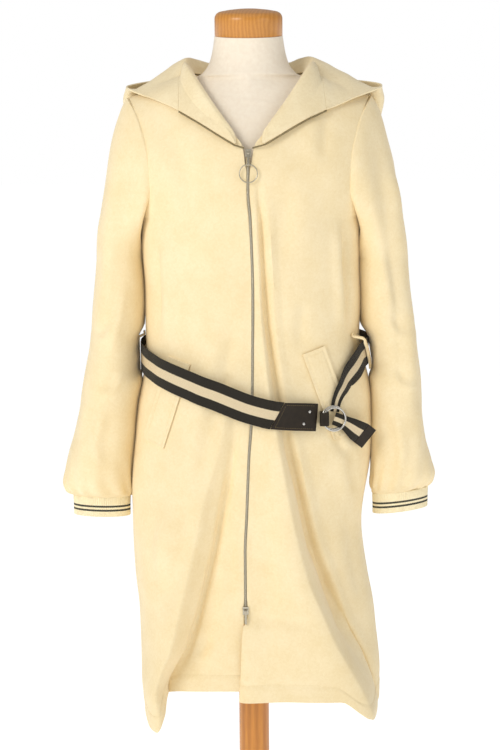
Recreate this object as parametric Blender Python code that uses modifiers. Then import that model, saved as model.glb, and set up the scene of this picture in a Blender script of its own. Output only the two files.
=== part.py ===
"""Hooded zip coat with a webbing belt, worn by a limbless dress form on a pole.

Metres, +Z up. The coat's front faces -Y and the wearer's left is +X.
The origin is the middle of the base's underside.
Every cloth piece is a loft: an outer grid of points from a formula, an inner grid one wall
thickness behind it, and a rim that closes the two.
"""
import math

import bmesh
import bpy
import numpy as np
from mathutils import Matrix, Vector
from mathutils.bvhtree import BVHTree

# Walls and gaps
CLOTH = 0.0025
RIB_CLOTH = 0.0030
WEBBING = 0.0016
LEATHER = 0.0022
SEAM = 0.0003

# Landmarks of the coat
HEM_Z = 0.400
UNDERARM_Z = 1.165
SHOULDER = (0.188, 1.352)
NECK_SIDE = (0.088, 1.3873)
SIDE_Y = 0.005
NECK_DIP = 0.005
ZIP_HALF = 0.0033
SHOULDER_ROUND = 2.2
YOKE_HALF = 0.215

# The body's plan at each height: half widths to each side, depths, squareness
BODY = {
    "z":      (0.400, 0.440, 0.520, 0.600, 0.680, 0.780, 0.870, 0.940, 0.980, 1.060, 1.165),
    "right":  (0.174, 0.180, 0.183, 0.189, 0.194, 0.191, 0.181, 0.170, 0.1675, 0.169, 0.172),
    "left":   (0.203, 0.203, 0.197, 0.185, 0.176, 0.190, 0.193, 0.180, 0.173, 0.1755, 0.175),
    "front":  (0.124, 0.124, 0.127, 0.130, 0.132, 0.134, 0.132, 0.128, 0.127, 0.128, 0.130),
    "back":   (0.150, 0.150, 0.149, 0.147, 0.145, 0.142, 0.137, 0.131, 0.129, 0.126, 0.123),
    "square": (4.2, 3.9, 3.2, 2.8, 2.6, 2.4, 2.3, 2.3, 2.3, 2.3, 2.3),
}
# The zip's place across the front
ZIP = {
    "z": (0.400, 0.575, 0.650, 0.710, 0.800, 0.850, 0.900, 0.960, 1.060, 1.167, 1.208, 1.272),
    "x": (-0.012, -0.012, -0.012, -0.009, -0.005, -0.001, 0.001, 0.002, 0.003, 0.0, -0.003, -0.002),
}
# Below the lower slider the left front swings over the right one
OVERLAP = {
    "z":       (0.400, 0.450, 0.500, 0.530, 0.5460),
    "x":       (-0.024, -0.021, -0.019, -0.0165, -0.0087),
    "forward": (0.015, 0.012, 0.0095, 0.0065, 0.0),
}
# The deep fold of the left front: a valley, and a ridge on its inner side that hides it
LEFT_FOLD = {
    "z":      (0.400, 0.430, 0.475, 0.518, 0.567, 0.618, 0.718, 0.797, 0.896, 1.010, 1.127, 1.225),
    "valley": (0.1975, 0.190, 0.174, 0.151, 0.128, 0.105, 0.079, 0.064, 0.043, 0.027, 0.019, 0.015),
    "ridge":  (0.183, 0.170, 0.146, 0.122, 0.102, 0.081, 0.058, 0.044, 0.027, 0.0155, 0.0105, 0.009),
    "rise":   (0.062, 0.058, 0.051, 0.043, 0.036, 0.029, 0.021, 0.015, 0.009, 0.003, 0.001, 0.0),
    "sink":   (0.006, 0.014, 0.020, 0.022, 0.021, 0.019, 0.015, 0.011, 0.008, 0.006, 0.004, 0.0),
}
# The deep fold of the right front: its ridge lies on the outer side and faces the valley
RIGHT_FOLD = {
    "z":      (0.400, 0.430, 0.463, 0.500, 0.566, 0.654, 0.719, 0.781, 0.850, 0.950, 1.225),
    "valley": (0.132, 0.136, 0.122, 0.099, 0.079, 0.058, 0.048, 0.037, 0.026, 0.024, 0.020),
    "ridge":  (0.151, 0.156, 0.148, 0.133, 0.118, 0.097, 0.083, 0.065, 0.046, 0.040, 0.034),
    "rise":   (0.054, 0.050, 0.044, 0.038, 0.031, 0.023, 0.017, 0.011, 0.005, 0.0, 0.0),
    "sink":   (0.004, 0.008, 0.013, 0.016, 0.017, 0.014, 0.010, 0.007, 0.003, 0.0, 0.0),
}
# Hem heights across each front, from the zip to the side seam
HEM = {
    "across": (0.0, 0.15, 0.29, 0.36, 0.43, 0.50, 0.62, 0.78, 1.0),
    "left":   (0.414, 0.4225, 0.4240, 0.3910, 0.3875, 0.3900, 0.3930, 0.3970, 0.400),
    "right":  (0.4265, 0.4260, 0.4245, 0.4210, 0.3930, 0.3720, 0.3740, 0.3860, 0.398),
}
# Towards the hem the folds' ridges widen into round tubes
TUBE_Z = (0.40, 0.545)
# The armhole edges, front and back, above the underarm
ARMHOLE = {
    "v":     (0.0, 0.10, 0.24, 0.48, 0.72, 0.91, 1.0),
    "front": (0.173, 0.163, 0.156, 0.157, 0.166, 0.179, 0.188),
    "back":  (0.173, 0.169, 0.166, 0.167, 0.173, 0.182, 0.188),
}
# The front's inner edge above the underarm: up the zip, then out along the roll of the neckline
NECK_EDGE = {
    "v": (0.0, 0.25, 0.48, 0.60, 0.80, 1.0),
    "z": (1.165, 1.222, 1.275, 1.299, 1.342, 1.3873),
    "x": (0.0, 0.0, 0.0055, 0.024, 0.056, 0.088),
}
# Soft folds of the back: place across it, depth at the hem, width
BACK_FOLDS = ((-0.62, 0.016, 0.16), (-0.22, 0.020, 0.14), (0.25, 0.017, 0.15), (0.66, 0.014, 0.17))
BACK_FOLD_TOP = 1.05

ROWS_BELOW = (0.0, 0.035, 0.08, 0.135, 0.176, 0.255, 0.32, 0.385, 0.45, 0.52, 0.59, 0.655, 0.70, 0.745,
              0.80, 0.87, 0.94)
ROWS_ABOVE = (0.0, 0.06, 0.13, 0.24, 0.36, 0.48, 0.61, 0.74, 0.85, 0.93, 0.975, 1.0)
FRONT_GUIDES = (0.0, 0.36, 0.50, 1.0)
FRONT_STEPS = (5, 3, 6)
BACK_STEPS = 24

# Sleeve sections below the armhole: where the tube's sides lie at each height
SLEEVE_RIGHT = {
    "z":     (1.100, 1.030, 0.970, 0.920, 0.870, 0.810, 0.765, 0.742, 0.730, 0.7235),
    "inner": (0.1745, 0.1760, 0.1820, 0.1830, 0.1862, 0.1925, 0.1965, 0.1970, 0.1975, 0.1985),
    "outer": (0.2388, 0.2472, 0.2545, 0.263, 0.272, 0.286, 0.296, 0.3005, 0.297, 0.2850),
    "front": (-0.060, -0.064, -0.067, -0.069, -0.069, -0.066, -0.061, -0.055, -0.046, -0.0345),
    "back":  (0.068, 0.066, 0.062, 0.056, 0.050, 0.042, 0.035, 0.030, 0.022, 0.0105),
    "tilt":  (0.0, 0.0, 0.0, 0.0, 0.0, 0.01, 0.02, 0.03, 0.03, 0.03),
}
SLEEVE_LEFT = {
    "z":     (1.100, 1.030, 0.970, 0.920, 0.870, 0.810, 0.770, 0.748, 0.736, 0.7275),
    "inner": (0.1795, 0.1800, 0.1895, 0.1955, 0.1970, 0.1970, 0.1950, 0.1925, 0.1930, 0.1955),
    "outer": (0.2410, 0.2508, 0.2585, 0.265, 0.269, 0.277, 0.284, 0.2895, 0.287, 0.2795),
    "front": (-0.060, -0.064, -0.067, -0.069, -0.069, -0.066, -0.061, -0.055, -0.046, -0.0345),
    "back":  (0.068, 0.066, 0.062, 0.056, 0.050, 0.042, 0.035, 0.030, 0.022, 0.0105),
    "tilt":  (0.0, 0.0, 0.0, 0.0, 0.02, 0.05, 0.09, 0.12, 0.13, 0.13),
}
HEAD_STEPS = (0.12, 0.28, 0.50, 0.75)
CUFF_DEPTH = 0.0325

# Hood sections from the lapel seam round to the middle of the back: how far round the neck, how
# high the roll stands over the seam, where the cloth lies lowest, where its free edge ends, and
# how far the outer layer of the bag stands off the inner one
HOOD = {
    "round":  (0.0, 10.0, 22.0, 36.0, 50.0, 64.0, 78.0, 90.0),
    "roll":   (0.016, 0.024, 0.026, 0.024, 0.020, 0.018, 0.016, 0.016),
    "low_x":  (0.1065, 0.142, 0.184, 0.190, 0.166, 0.122, 0.062, 0.0),
    "low_y":  (-0.080, -0.052, -0.006, 0.044, 0.104, 0.140, 0.158, 0.162),
    "low_z":  (1.332, 1.347, 1.361, 1.343, 1.262, 1.188, 1.146, 1.132),
    "edge_x": (0.1070, 0.143, 0.187, 0.193, 0.166, 0.114, 0.056, 0.0),
    "edge_y": (-0.081, -0.053, -0.004, 0.034, 0.078, 0.112, 0.132, 0.138),
    "edge_z": (1.330, 1.3463, 1.3645, 1.3700, 1.377, 1.3835, 1.380, 1.376),
    "puff":   (0.0, 0.0, 0.004, 0.014, 0.024, 0.034, 0.040, 0.042),
}
PUFF_FULL = 0.020
HOOD_REACH = {"left": 1.10, "right": 1.0}
HOOD_COLUMNS = 15
HOOD_OFF_BODY = 0.0052
HOOD_SEAM_RISE = 0.0016
SECTION_PLACES = (0.0, 0.08, 0.17, 0.27, 0.38, 0.49, 0.58, 0.66, 0.74, 0.82, 0.90, 1.0)

# Lapel: where the turned-out front's zip edge lies, from the slider to the hood seam
LAPEL = {
    "along": (0.0, 0.35, 0.70, 1.0),
    "x":     (0.0116, 0.0447, 0.078, 0.1055),
    "z":     (1.2735, 1.2930, 1.3135, 1.3290),
}
LAPEL_START = 0.11
LAPEL_OFF_BODY = 0.0055

# Pocket welts: the middle of the top and of the foot of each, as distance out and height
WELTS = {"left": ((0.0955, 0.9640), (0.1430, 0.8290)), "right": ((0.1100, 0.9500), (0.1530, 0.8180))}
WELT_WIDTH = 0.036
WELT_WALL = 0.0020
WELT_GAP = 0.0011

# Belt
BELT_WIDTH = 0.044
BELT_OFF_BODY = 0.0039
TAB_FROM = 14.0
TAB_SLANT = 0.38
# Round the waist: from the rings to the wearer's right, behind, and forward to the left loop
WAIST = {
    "turn": (39.3, 16.2, 0.0, -28.0, -52.0, -76.0, -95.0, -130.0, -180.0, -230.0, -262.0, -286.0),
    "z":    (0.8610, 0.8680, 0.8775, 0.9060, 0.9290, 0.9440, 0.9500, 0.956, 0.958, 0.957, 0.955, 0.9525),
}
WAIST_STATIONS = 41
# From the left belt loop down behind the rings
BELT_DROP = {
    "along": (0.0, 0.2, 0.4, 0.6, 0.8, 1.0),
    "x":     (0.1740, 0.1640, 0.1500, 0.1385, 0.1300, 0.1270),
    "y":     (-0.0535, -0.068, -0.0815, -0.0930, -0.0980, -0.0990),
    "z":     (0.9500, 0.9350, 0.9190, 0.9020, 0.8850, 0.8680),
    "width": (0.0420, 0.0410, 0.0370, 0.0290, 0.0180, 0.0140),
}
# The free end, out through the rings to the leather tip
FREE_END = {
    "along": (0.0, 0.2, 0.45, 0.72, 0.74, 1.0),
    "x":     (0.1268, 0.1325, 0.1460, 0.1633, 0.1650, 0.1828),
    "y":     (-0.1112, -0.1094, -0.1039, -0.0940, -0.0925, -0.0755),
    "z":     (0.8590, 0.8565, 0.8495, 0.8365, 0.8355, 0.8200),
    "width": (0.0200, 0.0210, 0.0290, 0.0360, 0.0360, 0.0360),
}
FREE_END_LEAD = (-0.83, -0.290, -0.54)
TIP_FROM = 0.74
RING_RADIUS = 0.0180
RING_WIRE = 0.0015
# Belt ring centres, and the turn of both about the upright
BELT_RINGS = {"inner": (0.1256, -0.1070, 0.8595), "outer": (0.1272, -0.1130, 0.8580)}
RING_TURN = math.radians(15.0)
# The leather keeper seen from above: its outer sides, wall and corner radius
KEEPER_X = (0.1046, 0.1188)
KEEPER_Y = (-0.1218, -0.1060)
KEEPER_Z = 0.8590
KEEPER_WALL = 0.0018
KEEPER_CORNER = 0.0028
KEEPER_HEIGHT = 0.021
RIVETS = ((0.0890, 0.8710), (0.0795, 0.8530))
RIVET_RADIUS = 0.0023
RIVET_THICK = 0.0009
# Belt loops: turn round the body and height of each end
BELT_LOOPS = {"left": ((66.0, 0.9830), (81.0, 0.9260)), "right": ((-86.0, 0.9850), (-90.0, 0.9050))}
LOOP_WIDTH = 0.008
LOOP_OFF = {"left": 0.0020, "right": 0.0014}

# Dress form
NECK_RADIUS = 0.053
NECK_TILT = math.radians(7.0)
NECK_TOP = 1.4455
CAP_HEIGHT = 0.041
FORM_FOOT = 0.690
FORM = {
    "z":      (0.690, 0.740, 0.900, 0.980, 1.060, 1.130, 1.190, 1.250, 1.300, 1.335),
    "half":   (0.158, 0.162, 0.140, 0.126, 0.132, 0.146, 0.152, 0.152, 0.158, 0.163),
    "front":  (0.104, 0.108, 0.098, 0.092, 0.100, 0.114, 0.116, 0.109, 0.098, 0.083),
    "back":   (0.114, 0.118, 0.100, 0.088, 0.092, 0.098, 0.100, 0.094, 0.080, 0.066),
    "square": (2.25, 2.25, 2.25, 2.25, 2.25, 2.25, 2.25, 2.25, 2.20, 1.90),
}
# The form's shoulders: height, half width, depths, and the front's squareness
FORM_SHOULDERS = ((1.3475, 0.163, 0.077, 0.044, 1.7), (1.3575, 0.163, 0.073, 0.033, 1.5),
                  (1.3665, 0.1377, 0.070, 0.027, 1.4), (1.3755, 0.1122, 0.0675, 0.032, 1.3),
                  (1.3810, 0.0920, 0.0660, 0.046, 1.5))
# The form's neck: height, half width and depths
FORM_NECK = ((1.386, 0.0765, 0.0648, 0.0630), (1.3925, 0.0692, 0.0615, 0.0600),
             (1.402, 0.0628, 0.0585, 0.0565), (1.420, 0.0572, 0.0550, 0.0537))
FORM_SIDES = 36
POLE_RADIUS = 0.0245
BASE_RADIUS = 0.170
BASE_THICK = 0.025

# Zip hardware
CHAIN_WIDTH = 0.0050
CHAIN_THICK = 0.0018
CHAIN_ENDS = (0.5660, 1.2590)
EDGE_CHAIN = (0.0024, 0.0018)
SLIDER_WIDTH = 0.0090
SLIDER_PLATE = 0.0018
SLIDER_TALL = 0.0125
SLIDER_CORE = (0.0048, 0.0022)
SLIDER_OFF = 0.0006
LUG_SIZE = (0.0011, 0.0034, 0.0040)
PIN_RADIUS = 0.0008
TAB_EYE = 0.0021
TAB_HOLE = 0.0013
TAB_WAIST = 0.0009
TAB_WIDTH = 0.0032
TAB_PLAY = 0.0005
# Each slider's middle and pin height, its tab's length, and how far the tab's foot stands out
SLIDERS = {"upper": (1.2660, 1.2660, 0.0172, 0.0022), "lower": (0.5590, 0.5590, 0.0200, 0.0012)}
PULL_RING_RADIUS = 0.0136
PULL_RING_WIRE = 0.0009
PULL_RING_LEAN = math.radians(7.0)

COLLECTION = bpy.data.collections
SIDES = {"left": 1.0, "right": -1.0}


def clear_scene():
    """Remove whatever objects the file holds."""
    for found in list(bpy.data.objects):
        bpy.data.objects.remove(found, do_unlink=True)


def smooth(xs, ys, at):
    """Monotone cubic through rows (xs, ys) at the places given: no overshoot between rows."""
    xs = np.asarray(xs, float)
    ys = np.asarray(ys, float)
    step = np.diff(xs)
    rise = np.diff(ys) / step
    slope = np.zeros_like(ys)
    slope[0], slope[-1] = rise[0], rise[-1]
    same = rise[:-1] * rise[1:] > 0
    total = np.where(same, rise[:-1] + rise[1:], 1.0)
    slope[1:-1] = np.where(same, 2 * rise[:-1] * rise[1:] / total, 0.0)
    at = np.clip(np.asarray(at, float), xs[0], xs[-1])
    k = np.clip(np.searchsorted(xs, at, side="right") - 1, 0, len(xs) - 2)
    t = (at - xs[k]) / step[k]
    a = (1 + 2 * t) * (1 - t) ** 2 * ys[k] + t * (1 - t) ** 2 * step[k] * slope[k]
    b = t * t * (3 - 2 * t) * ys[k + 1] + t * t * (t - 1) * step[k] * slope[k + 1]
    return a + b


def read(table, name, at, by="z"):
    """One named column of a table, read smoothly at the places given."""
    return smooth(table[by], table[name], at)


def unit(vectors):
    """Vectors scaled to length one."""
    vectors = np.asarray(vectors, float)
    return vectors / np.maximum(np.linalg.norm(vectors, axis=-1, keepdims=True), 1e-12)


def grid_normals(points, flip=False, wrap=False):
    """Unit normals of a grid of points, from its row and column steps."""
    if wrap:
        ring = np.concatenate([points[:, -1:], points, points[:, :1]], axis=1)
        across = np.gradient(ring, axis=1)[:, 1:-1]
    else:
        across = np.gradient(points, axis=1)
    along = np.gradient(points, axis=0)
    normals = unit(np.cross(across, along))
    return -normals if flip else normals


def shoulder_line(x):
    """Height of the shoulder seam's line at a distance from the middle."""
    slope = (NECK_SIDE[1] - SHOULDER[1]) / (SHOULDER[0] - NECK_SIDE[0])
    return SHOULDER[1] + (SHOULDER[0] - np.abs(x)) * slope


def neckline_height(x):
    """Height of the coat's top edge: the shoulder seam, then the back neckline between them."""
    dip = NECK_DIP * np.clip(1 - (x / NECK_SIDE[0]) ** 2, 0, 1)
    return np.minimum(shoulder_line(x), NECK_SIDE[1]) - dip


def body_depth(x, z, side, face):
    """Distance from the side seam's plane to the plain cloth, front or back, folds left out."""
    below = np.minimum(z, UNDERARM_Z)
    half = read(BODY, side, below)
    above = np.clip((z - UNDERARM_Z) / (SHOULDER[1] - UNDERARM_Z), 0, 1)
    half = half + (YOKE_HALF - half) * above * (2 - above)
    power = read(BODY, "square", below)
    full = read(BODY, face, below) * np.clip(1 - (np.abs(x) / half) ** power, 0, 1) ** (1 / power)
    top = shoulder_line(x)
    under = np.clip((top - z) / (top - UNDERARM_Z), 0, 1)
    return full * (1 - (1 - under) ** SHOULDER_ROUND) ** (1 / SHOULDER_ROUND)


def spread(side, share, start, end, z):
    """Places across a front from start to the side seam, evenly spaced round its curve."""
    half = read(BODY, side, z)
    power = read(BODY, "square", z)
    first = np.arcsin(np.clip(np.abs(start) / half, 0, 1) ** (power / 2))
    return half * np.sin(first + (end - first) * share) ** (2 / power)


def front_guides(side, z):
    """Distances out from the middle of a front's centre edge and two fold guides."""
    middle = SIDES[side] * read(ZIP, "x", z)
    edge = middle + ZIP_HALF
    fold = LEFT_FOLD if side == "left" else RIGHT_FOLD
    if side == "left":
        edge = np.where(z < OVERLAP["z"][-1], read(OVERLAP, "x", z), edge)
        return edge, read(fold, "ridge", z), read(fold, "valley", z)
    return edge, read(fold, "valley", z), read(fold, "ridge", z)


def front_across(side, c, z):
    """Distance out from the middle at column place c, which runs from 0 at the zip to 1."""
    edge, first, second = front_guides(side, z)
    c0, c1, c2, c3 = FRONT_GUIDES
    inner = edge + (first - edge) * np.clip((c - c0) / (c1 - c0), 0, 1)
    fold = first + (second - first) * np.clip((c - c1) / (c2 - c1), 0, 1)
    outer = spread(side, np.clip((c - c2) / (c3 - c2), 0, 1), second, math.pi / 2, z)
    return np.where(c <= c1, inner, np.where(c <= c2, fold, outer))


def front_forward(side, c, z):
    """How far the folds push a front forward."""
    fold = LEFT_FOLD if side == "left" else RIGHT_FOLD
    rise = read(fold, "rise", z)
    sink = -read(fold, "sink", z)
    edge = read(OVERLAP, "forward", z) if side == "left" else np.zeros_like(z)
    first, second = (rise, sink) if side == "left" else (sink, rise)
    c0, c1, c2, c3 = FRONT_GUIDES

    tube = 0.75 * np.clip((TUBE_Z[1] - z) / (TUBE_Z[1] - TUBE_Z[0]), 0, 1)

    def ease(start, end, share):
        share = np.clip(share, 0, 1)
        soft = share * share * (3 - 2 * share)
        to_ridge, from_ridge = np.sqrt(1 - (1 - share) ** 2), 1 - np.sqrt(1 - share ** 2)
        round_off = np.where(end > start, to_ridge, from_ridge)
        return start + (end - start) * (soft + (round_off - soft) * tube)

    near = ease(edge, first, (c - c0) / (c1 - c0))
    mid = ease(first, second, (c - c1) / (c2 - c1))
    far = ease(second, 0.0, (c - c2) / (c3 - c2))
    return np.where(c <= c1, near, np.where(c <= c2, mid, far))


def front_point(side, c, t):
    """Outer surface of a front: c across from the zip, t up from the hem (1 underarm, 2 top)."""
    c, t = np.broadcast_arrays(np.asarray(c, float), np.asarray(t, float))
    hem = read(HEM, side, c, by="across")
    z = hem + (UNDERARM_Z - hem) * np.minimum(t, 1)
    x = front_across(side, c, z)
    v = np.clip(t - 1, 0, 1)
    start = front_across(side, c, np.full_like(z, UNDERARM_Z))
    zero = front_across(side, np.zeros_like(z), np.full_like(z, UNDERARM_Z))
    share = (start - zero) / (read(BODY, side, UNDERARM_Z) - zero)
    arm_x = smooth(ARMHOLE["v"], ARMHOLE["front"], v)
    arm_x = np.where(v < 1e-9, read(BODY, side, UNDERARM_Z), arm_x)
    arm_z = UNDERARM_Z + v * (SHOULDER[1] - UNDERARM_Z)
    neck_z = smooth(NECK_EDGE["v"], NECK_EDGE["z"], v)
    zip_x = SIDES[side] * read(ZIP, "x", neck_z) + ZIP_HALF
    neck_x = zip_x + (1 - zip_x / NECK_EDGE["x"][-1]) * smooth(NECK_EDGE["v"], NECK_EDGE["x"], v)
    upper = t > 1
    x = np.where(upper, neck_x + share * (arm_x - neck_x), x)
    z = np.where(upper, neck_z + share * (arm_z - neck_z), z)
    y = SIDE_Y - body_depth(x, z, side, "front") - front_forward(side, c, z)
    return np.stack([SIDES[side] * x, y, z], axis=-1)


def back_point(c, t):
    """Outer surface of the back: c from -1 at the right side seam to 1 at the left one."""
    c, t = np.broadcast_arrays(np.asarray(c, float), np.asarray(t, float))
    z = HEM_Z + (UNDERARM_Z - HEM_Z) * np.minimum(t, 1)
    v = np.clip(t - 1, 0, 1)
    points = np.zeros(c.shape + (3,))
    for side, sign in SIDES.items():
        here = c * sign >= 0
        turn = np.abs(c) * math.pi / 2
        power = read(BODY, "square", z)
        x = read(BODY, side, z) * np.sin(turn) ** (2 / power)
        half = read(BODY, side, UNDERARM_Z)
        arm_x = np.where(v < 1e-9, half, smooth(ARMHOLE["v"], ARMHOLE["back"], v))
        x = np.where(t > 1, x * arm_x / half, x)
        last = x / arm_x * SHOULDER[0]
        top = neckline_height(last)
        up = np.where(t > 1, UNDERARM_Z + v * (top - UNDERARM_Z), z)
        soft = np.clip((BACK_FOLD_TOP - up) / (BACK_FOLD_TOP - HEM_Z), 0, 1)
        waves = sum(depth * np.exp(-((c - place) / width) ** 2) for place, depth, width in BACK_FOLDS)
        edge = np.clip((1 - np.abs(c)) * 8, 0, 1)
        y = SIDE_Y + body_depth(x, up, side, "back") - waves * soft ** 1.3 * edge
        found = np.stack([sign * x, y, up], axis=-1)
        points[here] = found[here]
    return points


def material(name, color, rough, metal=0.0):
    """A plain Principled material."""
    made = bpy.data.materials.get(name) or bpy.data.materials.new(name)
    made.use_nodes = True
    shader = made.node_tree.nodes["Principled BSDF"]
    shader.inputs["Base Color"].default_value = (*color, 1.0)
    shader.inputs["Roughness"].default_value = rough
    shader.inputs["Metallic"].default_value = metal
    made.diffuse_color = (*color, 1.0)
    return made


MATERIALS = {
    "wool": ((0.93, 0.82, 0.58), 0.95, 0.0),
    "rib": ((0.88, 0.79, 0.55), 0.95, 0.0),
    "webbing": ((0.03, 0.025, 0.02), 0.85, 0.0),
    "leather": ((0.03, 0.02, 0.015), 0.45, 0.0),
    "nickel": ((0.72, 0.70, 0.66), 0.25, 1.0),
    "jersey": ((0.86, 0.79, 0.70), 0.90, 0.0),
    "beech": ((0.76, 0.42, 0.13), 0.45, 0.0),
}


def add_object(name, mesh, slot, where="coat_on_form"):
    """Link a mesh as a named object with its material."""
    made = bpy.data.objects.new(name, mesh)
    mesh.materials.clear()
    mesh.materials.append(material(slot, *MATERIALS[slot]))
    COLLECTION[where].objects.link(made)
    return made


def finish(mesh, angle=40.0):
    """Smooth shading with sharp edges kept."""
    mesh.shade_smooth()
    mesh.set_sharp_from_angle(angle=math.radians(angle))


def grid_faces(rows, columns, wrap, shift, flip):
    """Quads of a grid whose first vertex has the number shift."""
    faces = []
    last = columns if wrap else columns - 1
    for i in range(rows - 1):
        for j in range(last):
            k = (j + 1) % columns
            quad = [shift + i * columns + j, shift + i * columns + k,
                    shift + (i + 1) * columns + k, shift + (i + 1) * columns + j]
            faces.append(quad[::-1] if flip else quad)
    return faces


def shell(name, outer, inner, slot, wrap=False):
    """A closed wall between two grids of points, with a rim along each free edge."""
    rows, columns = outer.shape[:2]
    count = rows * columns
    points = np.concatenate([outer.reshape(-1, 3), inner.reshape(-1, 3)])
    faces = grid_faces(rows, columns, wrap, 0, False) + grid_faces(rows, columns, wrap, count, True)
    last = columns if wrap else columns - 1
    for j in range(last):
        k = (j + 1) % columns
        faces.append([k, j, count + j, count + k])
        base = (rows - 1) * columns
        faces.append([base + j, base + k, count + base + k, count + base + j])
    if not wrap:
        for i in range(rows - 1):
            a, b = i * columns, (i + 1) * columns
            faces.append([a, b, count + b, count + a])
            a, b = a + columns - 1, b + columns - 1
            faces.append([b, a, count + a, count + b])
    return mesh_object(name, points, faces, slot)


def mesh_object(name, points, faces, slot):
    """A closed mesh whose faces point out."""
    mesh = bpy.data.meshes.new(name)
    mesh.from_pydata([tuple(p) for p in points], [], faces)
    shape = bmesh.new()
    shape.from_mesh(mesh)
    bmesh.ops.recalc_face_normals(shape, faces=shape.faces)
    if shape.calc_volume(signed=True) < 0:
        bmesh.ops.reverse_faces(shape, faces=shape.faces)
    bmesh.ops.triangulate(shape, faces=shape.faces)
    shape.to_mesh(mesh)
    shape.free()
    finish(mesh)
    return add_object(name, mesh, slot)


def draw_in(outer, inner, amount, edges):
    """Pull the named edges of two grids back by an amount, so that neighbours stay apart."""
    outer, inner = outer.copy(), inner.copy()
    moves = {"first_row": (0, 1, 0), "last_row": (-1, -2, 0), "first_column": (0, 1, 1),
             "last_column": (-1, -2, 1)}
    for edge in edges:
        at, to, axis = moves[edge]
        here = outer.take(at, axis=axis)
        step = unit(outer.take(to, axis=axis) - here) * amount
        index = (at, slice(None)) if axis == 0 else (slice(None), at)
        outer[index] += step
        inner[index] += step
    return outer, inner


def wall(points, thick, flip=False, wrap=False, fixed=None):
    """Inner grid: the outer points moved in by the wall, along their normals."""
    normals = grid_normals(points, flip, wrap)
    if fixed is not None:
        fixed(normals)
    return points - normals * thick


def body_rows():
    """Heights of the body's rows: hem to underarm, then underarm to the top."""
    return np.array(ROWS_BELOW + tuple(1 + v for v in ROWS_ABOVE))


def front_columns():
    """Column places of a front, closer in its deep fold."""
    places = [0.0]
    for start, end, count in zip(FRONT_GUIDES[:-1], FRONT_GUIDES[1:], FRONT_STEPS):
        places += [start + (end - start) * (i + 1) / count for i in range(count)]
    return np.array(places)


def seam_normals(side_sign, seam, below):
    """Set the normals along a side seam and a shoulder seam, so that both panels share them."""
    slope = (NECK_SIDE[1] - SHOULDER[1]) / (SHOULDER[0] - NECK_SIDE[0])

    def fix(normals):
        normals[:below, seam] = (side_sign, 0.0, 0.0)
        normals[-1, :, 1] = 0.0
        normals[-1] = unit(np.stack([np.full(normals.shape[1], side_sign * slope),
                                     np.zeros(normals.shape[1]), np.ones(normals.shape[1])], -1))
    return fix


def make_fronts():
    """Both fronts. Each is returned as its outer and inner grid for the pieces that join it."""
    grids = {}
    t, c = np.meshgrid(body_rows(), front_columns(), indexing="ij")
    for side, sign in SIDES.items():
        outer = front_point(side, c, t)
        inner = wall(outer, CLOTH, flip=sign < 0, fixed=seam_normals(sign, -1, len(ROWS_BELOW) + 1))
        grids[side] = (outer, inner)
        drawn = draw_in(outer, inner, SEAM / 2, ("last_column", "last_row"))
        shell("front_" + side, *drawn, "wool")
    return grids


def make_back():
    """The back in one piece, from side seam to side seam."""
    t, c = np.meshgrid(body_rows(), np.linspace(-1, 1, BACK_STEPS + 1), indexing="ij")
    outer = back_point(c, t)
    normals = grid_normals(outer, flip=True)
    below = len(ROWS_BELOW) + 1
    normals[:below, 0] = (-1.0, 0.0, 0.0)
    normals[:below, -1] = (1.0, 0.0, 0.0)
    slope = (NECK_SIDE[1] - SHOULDER[1]) / (SHOULDER[0] - NECK_SIDE[0])
    on_shoulder = np.abs(outer[-1, :, 0]) >= NECK_SIDE[0] - 1e-6
    top = np.stack([np.sign(outer[-1, :, 0]) * slope, np.zeros(c.shape[1]), np.ones(c.shape[1])], -1)
    normals[-1][on_shoulder] = unit(top)[on_shoulder]
    inner = outer - normals * CLOTH
    drawn = draw_in(outer, inner, SEAM / 2, ("first_column", "last_column", "last_row"))
    shell("back", *drawn, "wool")
    return outer, inner


def armhole_loop(front, back, side):
    """The armhole's edge and its way out of the body, from the shoulder round by the front."""
    below = len(ROWS_BELOW)
    column = -1 if side == "left" else 0
    step = -2 if side == "left" else 1
    loop = np.concatenate([front[0][below:, -1][::-1], back[0][below:, column][1:-1]])
    fore_way = unit(front[0][below:, -1] - front[0][below:, -2])
    aft_way = unit(back[0][below:, column] - back[0][below:, step])
    way = np.concatenate([fore_way[::-1], aft_way[1:-1]])
    way[0] = unit(fore_way[-1] + aft_way[-1])
    way[len(ROWS_ABOVE) - 1] = (SIDES[side], 0.0, 0.0)
    return loop, way


def sleeve_ring(table, side, z, count):
    """One level section of a sleeve: an oval between its four sides, tilted by its slope."""
    turn = np.arange(count) * 2 * math.pi / count
    low, high = read_down(table, "inner", z), read_down(table, "outer", z)
    fore, aft = read_down(table, "front", z), read_down(table, "back", z)
    x = (low + high) / 2 + (high - low) / 2 * np.cos(turn)
    y = (fore + aft) / 2 - (aft - fore) / 2 * np.sin(turn)
    lift = (x - (low + high) / 2) * read_down(table, "tilt", z)
    return np.stack([SIDES[side] * x, y, z + lift], axis=-1)


def read_down(table, name, z):
    """A column of a table whose rows run downwards."""
    return float(smooth(table["z"][::-1], table[name][::-1], z))


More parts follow.
